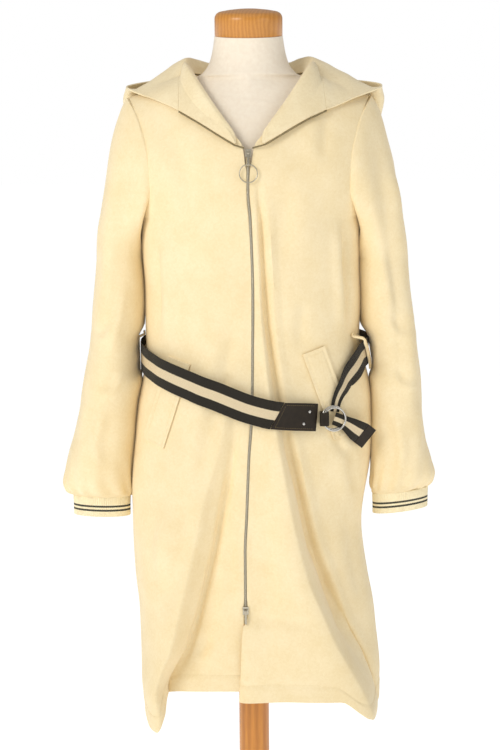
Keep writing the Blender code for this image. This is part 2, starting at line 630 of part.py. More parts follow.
def sleeve_points(side, loop, way):
    """Outer grid of a sleeve: its head springs from the armhole and meets the level sections."""
    table = SLEEVE_LEFT if side == "left" else SLEEVE_RIGHT
    count = len(loop)
    upper = sleeve_ring(table, side, table["z"][0], count)
    sign = SIDES[side]
    turn = np.arange(count) * 2 * math.pi / count
    top = (1 + np.cos(turn)) / 2
    start = np.stack([sign * (0.020 + 0.050 * top), -0.03 * np.sin(turn), -0.060 + 0.015 * top], -1)
    end = np.stack([np.full(count, sign * 0.01), np.zeros(count), -0.06 - 0.19 * top], -1)
    first = loop + way * SEAM
    rings = [first]
    for s in HEAD_STEPS:
        a, b = (1 + 2 * s) * (1 - s) ** 2, s * (1 - s) ** 2
        d, e = s * s * (3 - 2 * s), s * s * (s - 1)
        rings.append(a * first + b * start + d * upper + e * end)
    rings += [sleeve_ring(table, side, z, count) for z in table["z"]]
    return np.array(rings)


def make_sleeve(side, front, back):
    """A sleeve, and the rib cuff that draws it in."""
    loop, way = armhole_loop(front, back, side)
    outer = sleeve_points(side, loop, way)
    flip = side == "right"
    inward = -grid_normals(outer, flip, wrap=True)
    short = 0.05 - np.sum(inward[0] * way, axis=-1, keepdims=True)
    inward[0] = unit(inward[0] + way * np.maximum(short, 0))
    inner = outer + inward * CLOTH
    outer, inner = draw_in(outer, inner, SEAM / 2, ("last_row",))
    shell("sleeve_" + side, outer, inner, "wool", wrap=True)
    top = sleeve_ring(SLEEVE_LEFT if side == "left" else SLEEVE_RIGHT, side,
                      (SLEEVE_LEFT if side == "left" else SLEEVE_RIGHT)["z"][-1], len(loop))
    rings = np.array([top + (0, 0, -3 * SEAM - CUFF_DEPTH * s) for s in (0.0, 0.5, 1.0)])
    middle = top.mean(axis=0)
    rings[1:, :, :2] = middle[:2] + (rings[1:, :, :2] - middle[:2]) * 0.985
    cuff_inner = wall(rings, RIB_CLOTH, flip=flip, wrap=True)
    shell("cuff_" + side, rings, cuff_inner, "rib", wrap=True)


def surface_tree(grids):
    """A search tree over grids of points, for laying other pieces on them."""
    points, faces = [], []
    for grid in grids:
        rows, columns = grid.shape[:2]
        faces += grid_faces(rows, columns, False, len(points), False)
        points += [Vector(p) for p in grid.reshape(-1, 3)]
    return BVHTree.FromPolygons(points, faces)


AXIS = np.array([0.0, 0.01, 0.0])


def laid_on(points, tree, gap):
    """Move points out of a surface until each is at least the gap away from it."""
    flat = points.reshape(-1, 3).copy()
    for i, point in enumerate(flat):
        for _ in range(3):
            hit, normal, _, _ = tree.find_nearest(Vector(point))
            normal = np.array(normal)
            away = np.array(hit) - AXIS
            away[2] = 0.0 if hit[2] < UNDERARM_Z else max(hit[2] - UNDERARM_Z, 0.0)
            if normal @ away < 0:
                normal = -normal
            height = (point - np.array(hit)) @ normal
            if height < gap:
                point = point + normal * (gap - height)
        flat[i] = point
    return flat.reshape(points.shape)


def through(keys, places):
    """A smooth curve through key points, read at shares of its length."""
    keys = np.asarray(keys, float)
    length = np.concatenate([[0], np.cumsum(np.linalg.norm(np.diff(keys, axis=0), axis=1))])
    length /= length[-1]
    return np.stack([smooth(length, keys[:, k], places) for k in range(3)], axis=-1)


def neck_seam(turn):
    """The neckline seam at an angle round the neck, 0 at the side and 90 at the middle back."""
    x = NECK_SIDE[0] * math.cos(math.radians(turn))
    z = float(neckline_height(x))
    return np.array([x, SIDE_Y + float(body_depth(x, z, "left", "back")), z])


def turned_out(seam, out, crest, low, edge, puff, places):
    """A section of cloth that stands up from a seam, rolls over a crest and lies down outside."""
    rise = seam + (crest - seam) * 0.6 - out * 0.002
    slope = crest + (low - crest) * 0.42 + out * 0.004
    lying = np.array([low + (crest - low) * share for share in (0.30, 0.18, 0.08)])
    bulge = low + out * puff * 0.45 - (0, 0, 0.30 * puff)
    hung = np.array([low, bulge, low + (edge - low) * 0.35 + out * puff])
    share = min(puff / PUFF_FULL, 1.0)
    lower = lying + (hung - lying) * share * share * (3 - 2 * share)
    return through([seam, rise, crest, slope] + list(lower) + [edge], places)


def hood_section(place, side, places):
    """One section of the hood from the neckline seam over the roll and down to the free edge."""
    turn = float(smooth(range(len(HOOD["round"])), HOOD["round"], place))

    def value(name):
        return float(smooth(range(len(HOOD["round"])), HOOD[name], place))

    out = np.array([math.cos(math.radians(turn)), math.sin(math.radians(turn)), 0.0])
    seam = neck_seam(turn) - out * 0.0010 + (0.0, 0.0, HOOD_SEAM_RISE)
    crest = seam + out * 0.013 + (0, 0, value("roll"))
    reach = 1 + (HOOD_REACH[side] - 1) * math.cos(math.radians(turn))
    low = np.array([value("low_x") * reach, value("low_y"), value("low_z")])
    edge = np.array([value("edge_x") * reach, value("edge_y"), value("edge_z")])
    return turned_out(seam, out, crest, low, edge, value("puff"), places)


def make_hood(tree):
    """Both halves of the hood: turned out over the shoulders, a bag down the back.

    Returns the wall's two edges at each lapel seam, for the lapels to meet.
    """
    seams = {}
    for side, sign in SIDES.items():
        around = np.linspace(0, len(HOOD["round"]) - 1, HOOD_COLUMNS)
        middle = np.array([hood_section(k, side, SECTION_PLACES) for k in around])
        middle[..., 0] *= sign
        middle[:, 3:] = laid_on(middle[:, 3:], tree, HOOD_OFF_BODY)
        normals = grid_normals(middle, flip=sign > 0)
        normals[-1, :, 0] = 0.0
        normals = unit(normals)
        outer, inner = middle + normals * CLOTH / 2, middle - normals * CLOTH / 2
        seams[side] = outer[0].copy(), inner[0].copy()
        outer, inner = draw_in(outer, inner, SEAM, ("first_row",))
        for grid in (outer, inner):
            grid[-1, :, 0] = sign * SEAM
        shell("hood_" + side, outer, inner, "wool")
    return seams


def make_lapel(side, seam_edge, tree):
    """The turned-out top of a front: a roll along the neckline, then flat out to the zip edge."""
    sign = SIDES[side]
    v = np.linspace(LAPEL_START, 1.0, 9)
    start = 1 + NECK_EDGE["v"][2]
    t = start + (2 - start) * v
    edge = front_point(side, np.zeros_like(t), t)
    beside = front_point(side, np.full_like(t, 0.05), t)
    nearby = front_point(side, np.zeros_like(t), t - 0.02)
    toward = unit(edge - beside)
    normal = unit(np.cross(toward, edge - nearby))
    normal = normal * np.where(normal[:, 1:2] > 0, -1, 1)
    last = hood_section(0, side, (0.0, 1.0)) * (sign, 1, 1)
    out_x = smooth(LAPEL["along"], LAPEL["x"], v) * sign
    out_z = smooth(LAPEL["along"], LAPEL["z"], v)
    out_y = SIDE_Y - body_depth(np.abs(out_x), out_z, side, "front") - LAPEL_OFF_BODY
    middle = []
    for i, share in enumerate(v):
        seam = edge[i] + toward[i] * 0.0015 - normal[i] * 0.0010
        seam = seam + (last[0] - edge[-1] - toward[-1] * 0.0015 + normal[-1] * 0.0010) * share ** 3
        out = unit(np.array([sign, 0.0, 0.0]) * share - toward[i] * (1 - share))
        rise = 0.0055 + (HOOD["roll"][0] - 0.0055) * share ** 1.6
        crest = seam + out * 0.013 * share + (normal[i] * (1 - share) + (0, 0, share)) * rise
        low = np.array([out_x[i], out_y[i], out_z[i]])
        low = low + (last[1] - (out_x[-1], out_y[-1], out_z[-1])) * share ** 3
        middle.append(turned_out(seam, out, crest, low, low, 0.0, SECTION_PLACES))
    middle = np.array(middle)
    middle[:, 4:] = laid_on(middle[:, 4:], tree, HOOD_OFF_BODY)
    normals = grid_normals(middle, flip=sign > 0)
    outer, inner = middle + normals * CLOTH / 2, middle - normals * CLOTH / 2
    outer[-1], inner[-1] = seam_edge
    outer, inner = draw_in(outer, inner, SEAM, ("last_row",))
    shell("lapel_" + side, outer, inner, "wool")
    return middle, normals


def make_torso():
    """The form's torso: level sections up to the shoulders, then in to the neck."""
    rows = [row + (0.0,) for row in zip(FORM["z"], FORM["half"], FORM["front"], FORM["back"],
                                        FORM["square"])]
    rows += [row + (0.0,) for row in FORM_SHOULDERS]
    rows += [row + (2.0, 1.0) for row in FORM_NECK + ((NECK_TOP,) + (NECK_RADIUS,) * 3,)]
    turn = np.arange(FORM_SIDES) * 2 * math.pi / FORM_SIDES
    rings = []
    for z, half, fore, aft, square, neck in rows:
        s, k = np.sin(turn), np.cos(turn)
        power = np.where(k > 0, square, max(square, 2.0))
        x = half * np.sign(s) * np.abs(s) ** (2 / power)
        y = np.where(k > 0, -fore, aft) * np.abs(k) ** (2 / power)
        lean = -math.tan(NECK_TILT) * (z - FORM_NECK[0][0]) * neck
        tip = z + (NECK_TILT * y if z == NECK_TOP else 0.0)
        rings.append(np.stack([x, SIDE_Y + y + lean, np.broadcast_to(tip, x.shape)], -1))
    rings = np.array(rings)
    count = rings.shape[0]
    faces = grid_faces(count, FORM_SIDES, True, 0, False)
    faces.append(list(range(FORM_SIDES)))
    faces.append([(count - 1) * FORM_SIDES + j for j in range(FORM_SIDES)])
    mesh_object("form_torso", rings.reshape(-1, 3), faces, "jersey")


def turned(name, profile, slot, steps=40):
    """A turned solid: a profile of (radius, height) from the top down, spun about Z."""
    mesh = bpy.data.meshes.new(name)
    mesh.from_pydata([(r, 0.0, z) for r, z in profile], [(i, i + 1) for i in range(len(profile) - 1)], [])
    made = add_object(name, mesh, slot)
    screw = made.modifiers.new("Screw", "SCREW")
    screw.steps = steps
    screw.render_steps = steps
    screw.use_merge_vertices = True
    screw.merge_threshold = 0.00005
    screw.use_smooth_shade = True
    return made


def arc(centre, radius, start, end, count):
    """Points of a round stretch of a profile."""
    angles = [math.radians(start + (end - start) * i / count) for i in range(count + 1)]
    return [(centre[0] + radius * math.cos(a), centre[1] + radius * math.sin(a)) for a in angles]


def make_stand():
    """Neck cap, pole and base."""
    round_edge = 0.011
    inset = NECK_RADIUS - 0.0002
    dome = [(0.0, CAP_HEIGHT), (0.6 * inset, CAP_HEIGHT - 0.0022)]
    shoulder = arc((inset - round_edge, CAP_HEIGHT - 0.0042 - round_edge), round_edge, 78, 0, 5)
    cap = turned("form_neck_cap", dome + shoulder + [(inset, 0.0), (0.0, 0.0)], "beech", 32)
    lean = -math.tan(NECK_TILT) * (NECK_TOP - FORM_NECK[0][0])
    cap.location = (0.0, SIDE_Y + lean, NECK_TOP + SEAM)
    cap.rotation_euler = (math.atan(NECK_TILT), 0.0, 0.0)
    top = FORM_FOOT - SEAM
    turned("form_pole", [(0.0, top), (POLE_RADIUS, top), (POLE_RADIUS, BASE_THICK + SEAM),
                         (0.0, BASE_THICK + SEAM)], "beech", 28)
    edge = 0.006
    rim = arc((BASE_RADIUS - edge, BASE_THICK - edge), edge, 90, 0, 3)
    turned("form_base", [(0.0, BASE_THICK)] + rim + [(BASE_RADIUS, 0.0), (0.0, 0.0)], "beech", 44)


def ribbon(name, middle, across, normals, widths, thick, slot, columns=3):
    """A closed band: a path of middles, each with its across direction, normal and width."""
    places = np.linspace(-0.5, 0.5, columns)
    widths = np.broadcast_to(np.asarray(widths, float), (len(middle),))
    grid = middle[:, None] + across[:, None] * (widths[:, None] * places[None])[..., None]
    half = normals[:, None] * thick / 2
    shell(name, grid + half, grid - half, slot)
    return grid + half


def front_y(x, z, side="left"):
    """Depth of a front's plain surface, folds left out."""
    return SIDE_Y - float(body_depth(abs(x), z, side, "front"))


def front_hit(tree, x, z):
    """The coat's outermost point seen from the front at a place."""
    hit, normal, _, _ = tree.ray_cast(Vector((x, -1.0, z)), Vector((0, 1, 0)))
    normal = np.array(normal)
    return np.array(hit), normal if normal[1] < 0 else -normal


def make_zip():
    """The closed chain between the fronts, and the sliders with their pulls."""
    z = np.linspace(CHAIN_ENDS[0], CHAIN_ENDS[1], 22)
    x = read(ZIP, "x", z)
    y = np.array([front_y(0.0, h) for h in z]) + CHAIN_THICK / 2
    middle = np.stack([x, y, z], -1)
    across = np.tile((1.0, 0.0, 0.0), (len(z), 1))
    normals = np.tile((0.0, -1.0, 0.0), (len(z), 1))
    ribbon("zip_chain", middle, across, normals, CHAIN_WIDTH, CHAIN_THICK, "nickel", 2)
    for name, (mid, pin, length, lean) in SLIDERS.items():
        make_slider(name, mid, pin, length, lean)


def box(name, low, high, slot, where="coat_on_form"):
    """A box between two corners."""
    mesh = bpy.data.meshes.new(name)
    shape = bmesh.new()
    bmesh.ops.create_cube(shape, size=1.0)
    shape.to_mesh(mesh)
    shape.free()
    low, high = Vector(low), Vector(high)
    mesh.transform(Matrix.Translation((low + high) / 2) @ Matrix.Diagonal((*(high - low), 1.0)))
    return add_object(name, mesh, slot, where)


def cylinder(name, centre, axis, radius, length, slot, sides=12, where="coat_on_form"):
    """A cylinder about a centre, along an axis."""
    mesh = bpy.data.meshes.new(name)
    shape = bmesh.new()
    bmesh.ops.create_cone(shape, cap_ends=True, segments=sides, radius1=radius, radius2=radius, depth=length)
    shape.to_mesh(mesh)
    shape.free()
    finish(mesh)
    turn = Vector((0, 0, 1)).rotation_difference(Vector(axis)).to_matrix().to_4x4()
    mesh.transform(Matrix.Translation(Vector(centre)) @ turn)
    return add_object(name, mesh, slot, where)


def join(base, others):
    """Unite hidden shapes with a base object."""
    for other in others:
        other.hide_render = True
        other.display_type = "WIRE"
        union = base.modifiers.new("Union", "BOOLEAN")
        union.operation = "UNION"
        union.object = other


def make_slider(name, mid, pin, length, lean):
    """A slider: a plate over the zip, a core between the fronts, and lugs that hold a pin."""
    x = float(read(ZIP, "x", mid))
    back = front_y(0.0, mid) - SLIDER_OFF
    half = SLIDER_WIDTH / 2
    plate = box("zip_slider_" + name, (x - half, back - SLIDER_PLATE, mid - SLIDER_TALL / 2),
                (x + half, back, mid + SLIDER_TALL / 2), "nickel")
    core_half, core_deep = SLIDER_CORE[0] / 2, SLIDER_CORE[1]
    core = box("core_" + name, (x - core_half, back - SLIDER_PLATE / 2, mid - SLIDER_TALL / 2 + 0.0004),
               (x + core_half, back + core_deep, mid + SLIDER_TALL / 2 - 0.0004), "nickel", "cutters")
    pin_y = back - SLIDER_PLATE - TAB_EYE - 0.0004
    wide, deep, tall = LUG_SIZE
    inner = TAB_WIDTH / 2 + TAB_PLAY
    lugs = [box("lug_%s_%s" % (name, hand), (x + min(a, b), pin_y - deep / 2 + 0.0004, pin - tall / 2),
                (x + max(a, b), back - SLIDER_PLATE / 2, pin + tall / 2), "nickel", "cutters")
            for hand, a, b in (("r", inner, inner + wide), ("l", -inner, -inner - wide))]
    rod = cylinder("rod_" + name, (x, pin_y, pin), (1, 0, 0), PIN_RADIUS, 2 * inner + wide, "nickel",
                   10, "cutters")
    join(plate, [core] + lugs + [rod])
    top = Vector((x, pin_y, pin))
    foot = top + Vector((0, -lean, -math.sqrt(length ** 2 - lean ** 2)))
    make_tab("zip_tab_" + name, top, foot, name == "upper")
    if name == "upper":
        make_pull_ring(foot)


def make_tab(name, top, foot, ringed):
    """A pull tab seen from the side: an eye at the slider's pin, a waist, and an eye or a tongue."""
    length = (foot - top).length
    spread_angle = math.degrees(math.asin(TAB_WAIST / TAB_EYE))
    outline = arc((0.0, 0.0), TAB_EYE, spread_angle, 360 - spread_angle, 12)
    if ringed:
        outline += arc((length, 0.0), TAB_EYE, spread_angle - 180, 180 - spread_angle, 12)
        holes = (0.0, length)
    else:
        outline += arc((length, 0.0), TAB_WAIST, -90, 90, 6)
        holes = (0.0,)
    curve = bpy.data.curves.new(name, "CURVE")
    curve.dimensions = "2D"
    curve.fill_mode = "BOTH"
    curve.extrude = TAB_WIDTH / 2
    rounds = [arc((at, 0.0), TAB_HOLE, 0, 324, 9) for at in holes]
    for points in [outline] + rounds:
        spline = curve.splines.new("POLY")
        spline.points.add(len(points) - 1)
        for point, (u, w) in zip(spline.points, points):
            point.co = (u, w, 0.0, 1.0)
        spline.use_cyclic_u = True
    curve.materials.append(material("nickel", *MATERIALS["nickel"]))
    made = bpy.data.objects.new(name, curve)
    COLLECTION["coat_on_form"].objects.link(made)
    down = (foot - top).normalized()
    side = Vector((1, 0, 0))
    turn = Matrix((down, side.cross(down), side)).transposed().to_4x4()
    made.matrix_world = Matrix.Translation(top) @ turn


def torus(name, radius, wire, slot, sides=24, round_sides=6):
    """A ring about the local Z axis."""
    turn, roll = np.meshgrid(np.arange(sides) * 2 * math.pi / sides,
                             np.arange(round_sides) * 2 * math.pi / round_sides, indexing="ij")
    reach = radius + wire * np.cos(roll)
    points = np.stack([reach * np.cos(turn), reach * np.sin(turn), wire * np.sin(roll)], -1)
    closed = np.concatenate([points, points[:1]])
    faces = [[v % (sides * round_sides) for v in quad]
             for quad in grid_faces(closed.shape[0], round_sides, True, 0, False)]
    return mesh_object(name, points.reshape(-1, 3), faces, slot)


def make_pull_ring(eye):
    """The round pull, hung in the tab's lower eye."""
    ring = torus("zip_pull_ring", PULL_RING_RADIUS, PULL_RING_WIRE, "nickel")
    ring.data.transform(Matrix.Rotation(math.pi / 2, 4, "X"))
    ring.data.transform(Matrix.Translation((0, 0, -PULL_RING_RADIUS)))
    ring.location = eye
    ring.rotation_euler = (-PULL_RING_LEAN, 0.0, 0.0)


def make_edge_chain(side, middle, normals, tree):
    """The open half of the zip, along the turned-out facing's edge down to the slider."""
    outward = unit(middle[:, -1] - middle[:, -2])
    path = middle[:, -1] + outward * (EDGE_CHAIN[0] / 2 + 3 * SEAM)
    mid = SLIDERS["upper"][0] + SLIDER_TALL / 2 + 0.0012
    x = float(read(ZIP, "x", mid)) + SIDES[side] * 0.0062
    first = np.array([x, front_y(0.0, mid) - 0.0030, mid])
    path = np.concatenate([[first], path[:-1], path[-1:] + (path[-2:-1] - path[-1:]) * 0.3])
    path[1:] = laid_on(path[1:], tree, EDGE_CHAIN[1] / 2 + 0.0010)
    along = unit(np.gradient(path, axis=0))
    facing = unit(np.concatenate([normals[:1, -1], normals[:, -1]]))
    across = unit(np.cross(along, facing))
    facing = unit(np.cross(across, along))
    ribbon("zip_edge_" + side, path, across, facing, EDGE_CHAIN[0], EDGE_CHAIN[1], "nickel", 2)


def make_welt(side, tree):
    """A slanted pocket welt that lies on a front."""
    sign = SIDES[side]
    (x0, z0), (x1, z1) = WELTS[side]
    down = unit((x1 - x0, z1 - z0))
    rows, columns = 12, 7
    grid = np.zeros((rows, columns, 3))
    for i, s in enumerate(np.linspace(0, 1, rows)):
        for j, w in enumerate(np.linspace(-0.5, 0.5, columns)):
            x = x0 + (x1 - x0) * s - down[1] * w * WELT_WIDTH
            z = z0 + (z1 - z0) * s + down[0] * w * WELT_WIDTH
            grid[i, j] = front_hit(tree, sign * x, z)[0]
    grid = laid_on(grid, tree, WELT_GAP)
    normals = grid_normals(grid, flip=sign > 0)
    shell("welt_" + side, grid + normals * WELT_WALL, grid, "wool")
    return grid + normals * WELT_WALL


def outermost(tree, turn, z, off):
    """A place off the coat's outermost surface, at a turn round the upright and a height."""
    angle = math.radians(turn)
    way = np.array([math.sin(angle), -math.cos(angle), 0.0])
    hit, _, _, _ = tree.ray_cast(Vector(AXIS * (1, 1, 0) + way * 0.6 + (0, 0, z)), Vector(-way))
    return np.array(hit) + way * off


def taut(points, rounds=80):
    """Draw a path outward until no point lies inside the chord of its neighbours."""
    points = points.copy()
    for _ in range(rounds):
        chord = (points[:-2] + points[2:]) / 2
        far = np.linalg.norm(chord[:, :2] - AXIS[:2], axis=1)
        near = np.linalg.norm(points[1:-1, :2] - AXIS[:2], axis=1)
        scale = np.maximum(far / near, 1.0)[:, None]
        points[1:-1, :2] = AXIS[:2] + (points[1:-1, :2] - AXIS[:2]) * scale
    return points


def path_frame(path, lead):
    """Across and normal directions of a band whose width lies close to a lead direction."""
    along = unit(np.gradient(path, axis=0))
    normals = unit(np.cross(along, lead))
    return unit(np.cross(normals, along)), normals


def make_belt(tree):
    """Webbing round the waist, its leather tab and rings, and its free end with a leather tip."""
    rank = range(len(WAIST["turn"]))
    places = np.linspace(0, len(WAIST["turn"]) - 1, WAIST_STATIONS)
    turns, heights = smooth(rank, WAIST["turn"], places), smooth(rank, WAIST["z"], places)
    path = []
    for turn, z in zip(turns, heights):
        tries = [outermost(tree, turn + swing, z + rise, BELT_OFF_BODY)
                 for rise in (-0.021, -0.01, 0, 0.01, 0.021) for swing in (-4.0, -2.0, 2.0)]
        reach = max(np.linalg.norm((point - AXIS)[:2]) for point in tries)
        angle = math.radians(turn)
        path.append((AXIS[0] + reach * math.sin(angle), AXIS[1] - reach * math.cos(angle), z))
    path = taut(np.array(path))
    tab = turns >= TAB_FROM
    count = int(tab.sum())
    start = path[count - 1] + (path[count] - path[count - 1]) * 0.06
    drop = np.stack([BELT_DROP[k] for k in "xyz"], -1)
    drop = laid_on(through(drop, np.linspace(0, 1, 9)), tree, 0.0026)
    widths = smooth(BELT_DROP["along"], BELT_DROP["width"], np.linspace(0, 1, 9))
    whole = np.concatenate([path[:count], [start], path[count:], drop])
    slant = np.concatenate([turns[:count], turns[count - 1:count], turns[count:], np.full(9, turns[-1])])
    slant = TAB_SLANT * np.clip(1 - np.abs(slant - TAB_FROM) / 15.0, 0, 1)
    across, normals = path_frame(whole, np.stack([slant, 0 * slant, 0 * slant + 1], -1))
    outward = np.sum(normals * (whole - AXIS) * (1, 1, 0), axis=1, keepdims=True) < 0
    normals = np.where(outward, -normals, normals)
    across = across + unit(np.gradient(whole, axis=0)) * -slant[:, None]
    across[count] = across[count - 1]
    normals[count] = normals[count - 1]
    front = ribbon("belt_tab", whole[:count] + normals[:count] * LEATHER / 2, across[:count], normals[:count],
                   BELT_WIDTH - 0.001, LEATHER, "leather")
    wide = np.concatenate([np.full(len(path) - count + 1, BELT_WIDTH), widths])
    webbing = ribbon("belt_webbing", whole[count:] + normals[count:] * WEBBING / 2, across[count:],
                     normals[count:], wide, WEBBING, "webbing")
    tab_face = surface_tree([front])
    for (x, z), name in zip(RIVETS, ("upper", "lower")):
        centre, facing = front_hit(tab_face, x, z)
        centre = centre + facing * (RIVET_THICK / 2 + 2 * SEAM)
        cylinder("belt_rivet_" + name, centre, facing, RIVET_RADIUS, RIVET_THICK, "nickel", 14)
    make_rings()
    make_free_end()
    return webbing


def make_rings():
    """The two round rings and the leather keeper that ties them to the tab."""
    for name, centre in BELT_RINGS.items():
        ring = torus("belt_ring_" + name, RING_RADIUS, RING_WIRE, "nickel", 28, 6)
        ring.data.transform(Matrix.Rotation(math.pi / 2, 4, "X"))
        ring.location = centre
        ring.rotation_euler = (0.0, 0.0, RING_TURN)
    curve = bpy.data.curves.new("belt_keeper", "CURVE")
    curve.dimensions = "2D"
    curve.fill_mode = "BOTH"
    curve.extrude = KEEPER_HEIGHT / 2
    for grow in (0.0, KEEPER_WALL):
        radius = KEEPER_CORNER - grow
        (x0, x1), (y0, y1) = KEEPER_X, KEEPER_Y
        x0, x1, y0, y1 = x0 + grow + radius, x1 - grow - radius, y0 + grow + radius, y1 - grow - radius
        corners = []
        for u, w, start in ((x1, y1, 0), (x0, y1, 90), (x0, y0, 180), (x1, y0, 270)):
            corners += arc((u, w), radius, start, start + 90, 4)
        spline = curve.splines.new("POLY")
        spline.points.add(len(corners) - 1)
        for point, (u, w) in zip(spline.points, corners):
            point.co = (u, w, 0.0, 1.0)
        spline.use_cyclic_u = True
    curve.materials.append(material("leather", *MATERIALS["leather"]))
    made = bpy.data.objects.new("belt_keeper", curve)
    COLLECTION["coat_on_form"].objects.link(made)
    made.location = (0.0, 0.0, KEEPER_Z)


def make_free_end():
    """The webbing beyond the rings, and its leather tip."""
    path = np.stack([FREE_END[k] for k in "xyz"], -1)
    places = np.array((0.0, 0.12, 0.25, 0.4, 0.56, TIP_FROM - 0.005, TIP_FROM, 0.87, 1.0))
    path = through(path, places)
    widths = smooth(FREE_END["along"], FREE_END["width"], places)
    across, facing = path_frame(path, FREE_END_LEAD)
    facing = np.where(facing[:, 1:2] > 0, -facing, facing)
    cut = int(np.searchsorted(places, TIP_FROM))
    across[cut - 1] = across[cut]
    facing[cut - 1] = facing[cut]
    ribbon("belt_free_end", path[:cut], across[:cut], facing[:cut], widths[:cut], WEBBING, "webbing")
    ribbon("belt_tip", path[cut:], across[cut:], facing[cut:], widths[cut:], LEATHER, "leather")


def make_belt_loop(side, tree):
    """A narrow cloth loop over the belt."""
    (turn0, z0), (turn1, z1) = BELT_LOOPS[side]
    share = np.linspace(0, 1, 15)
    path = []
    for s in share:
        turn, z = turn0 + (turn1 - turn0) * s, z0 + (z1 - z0) * s
        tries = [outermost(tree, turn, z + rise, LOOP_OFF[side]) for rise in (-0.006, 0.0, 0.006)]
        far = max(tries, key=lambda point: np.linalg.norm((point - AXIS)[:2]))
        path.append((far[0], far[1], z))
    path = np.array(path)
    across, normals = path_frame(path, (math.cos(math.radians((turn0 + turn1) / 2)),
                                        math.sin(math.radians((turn0 + turn1) / 2)), 0.0))
    outward = np.sum(normals * (path - AXIS) * (1, 1, 0), axis=1, keepdims=True) < 0
    normals = np.where(outward, -normals, normals)
    ribbon("belt_loop_" + side, path + normals * 0.0006, across, normals, LOOP_WIDTH, 0.0012, "wool", 2)


def build():
    """Make every piece."""
    clear_scene()
    for name in ("coat_on_form", "cutters"):
        made = COLLECTION.get(name) or COLLECTION.new(name)
        if made.name not in bpy.context.scene.collection.children:
            bpy.context.scene.collection.children.link(made)
    fronts = make_fronts()
    back = make_back()
    coat = [fronts["left"][0], fronts["right"][0], back[0]]
    tree = surface_tree(coat)
    seams = make_hood(tree)
    for side in SIDES:
        make_sleeve(side, fronts[side], back)
        middle, normals = make_lapel(side, seams[side], tree)
        make_edge_chain(side, middle, normals, tree)
    make_zip()
    coat += [make_welt(side, tree) for side in SIDES]
    webbing = make_belt(surface_tree(coat))
    tree = surface_tree(coat + [webbing])
    for side in SIDES:
        make_belt_loop(side, tree)
    make_torso()
    make_stand()


build()
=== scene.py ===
# %% [markdown]
# A cream hooded coat of felted wool hangs on a limbless dress form. A garment like this is made of
# flat cuts of thick cloth, joined at seams and drawn together by a zip, and its look comes from three
# things: the shape each panel takes as it hangs, the soft folds in it, and the nap of the felt.
# This lesson builds each panel as a surface worked out from a formula, folds it by adding soft
# ridges and troughs, gives it a thickness, and then dresses it in materials made of nodes.

# %% The fixed frame
import math

import bpy
import numpy as np
from mathutils import Matrix, Vector
from mathutils.bvhtree import BVHTree


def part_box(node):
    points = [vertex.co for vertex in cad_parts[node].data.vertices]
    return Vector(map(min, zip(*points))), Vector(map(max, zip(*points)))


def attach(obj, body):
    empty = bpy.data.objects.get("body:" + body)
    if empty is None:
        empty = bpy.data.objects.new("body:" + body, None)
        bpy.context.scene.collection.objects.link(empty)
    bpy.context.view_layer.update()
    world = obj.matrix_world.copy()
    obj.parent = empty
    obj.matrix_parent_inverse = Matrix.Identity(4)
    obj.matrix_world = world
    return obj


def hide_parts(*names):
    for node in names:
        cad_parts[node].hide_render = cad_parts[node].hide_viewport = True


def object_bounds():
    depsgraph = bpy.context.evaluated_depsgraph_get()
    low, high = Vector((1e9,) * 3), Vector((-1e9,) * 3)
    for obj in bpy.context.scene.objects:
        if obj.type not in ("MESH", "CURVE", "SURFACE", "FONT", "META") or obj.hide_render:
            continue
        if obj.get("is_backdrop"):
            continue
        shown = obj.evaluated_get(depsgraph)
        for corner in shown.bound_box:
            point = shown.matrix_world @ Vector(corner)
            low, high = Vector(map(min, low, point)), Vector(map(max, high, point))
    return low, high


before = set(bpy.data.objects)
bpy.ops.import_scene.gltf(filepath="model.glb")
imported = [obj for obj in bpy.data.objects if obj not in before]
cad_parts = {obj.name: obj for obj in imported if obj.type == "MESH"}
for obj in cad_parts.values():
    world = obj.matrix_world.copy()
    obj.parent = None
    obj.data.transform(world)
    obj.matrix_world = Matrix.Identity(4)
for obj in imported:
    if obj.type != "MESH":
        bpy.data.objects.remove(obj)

cad_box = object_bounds()


def add_object(name, data):
    """A new object in the scene."""
    made = bpy.data.objects.new(name, data)
    bpy.context.scene.collection.objects.link(made)
    return made


# %% [markdown]
# The photograph is a shop picture: a long lens a little above the coat, looking slightly down, on
# plain white. A long lens keeps the hem and the shoulders in proportion. The camera's turn is worked
# out from its place and the point it looks at, with a half degree of roll, as in the picture.

# %% Camera
camera_data = bpy.data.cameras.new("camera")
camera_data.sensor_fit = "VERTICAL"
camera_data.sensor_height = 36.0
camera_data.lens = 84.0
camera = add_object("camera", camera_data)
CAMERA_AWAY = 2.8
ROLL = math.radians(-0.48)
LOOK_AT = Vector((-0.0022, 0.0, 0.912))
LOOK_DOWN = math.radians(8.0)
forward = Vector((0.0, math.cos(LOOK_DOWN), -math.sin(LOOK_DOWN)))
level_right = Vector((1.0, 0.0, 0.0))
level_up = level_right.cross(forward)
right = level_right * math.cos(ROLL) + level_up * math.sin(ROLL)
up = level_up * math.cos(ROLL) - level_right * math.sin(ROLL)
turn = Matrix((right, up, -forward)).transposed().to_4x4()
camera.matrix_world = Matrix.Translation(LOOK_AT - forward * CAMERA_AWAY) @ turn
bpy.context.scene.camera = camera
print("camera at", [round(v, 3) for v in camera.matrix_world.translation])

# %% [markdown]
# Several finishes share the same small effects: noise, waves, a colour between two others, a bump.
# Each helper below adds its nodes to a tree and gives back the output that the next one reads.
# An input takes either a plain value or such an output.

# %% Small helpers for nodes
FLOAT, COLOR = "NodeSocketFloat", "NodeSocketColor"


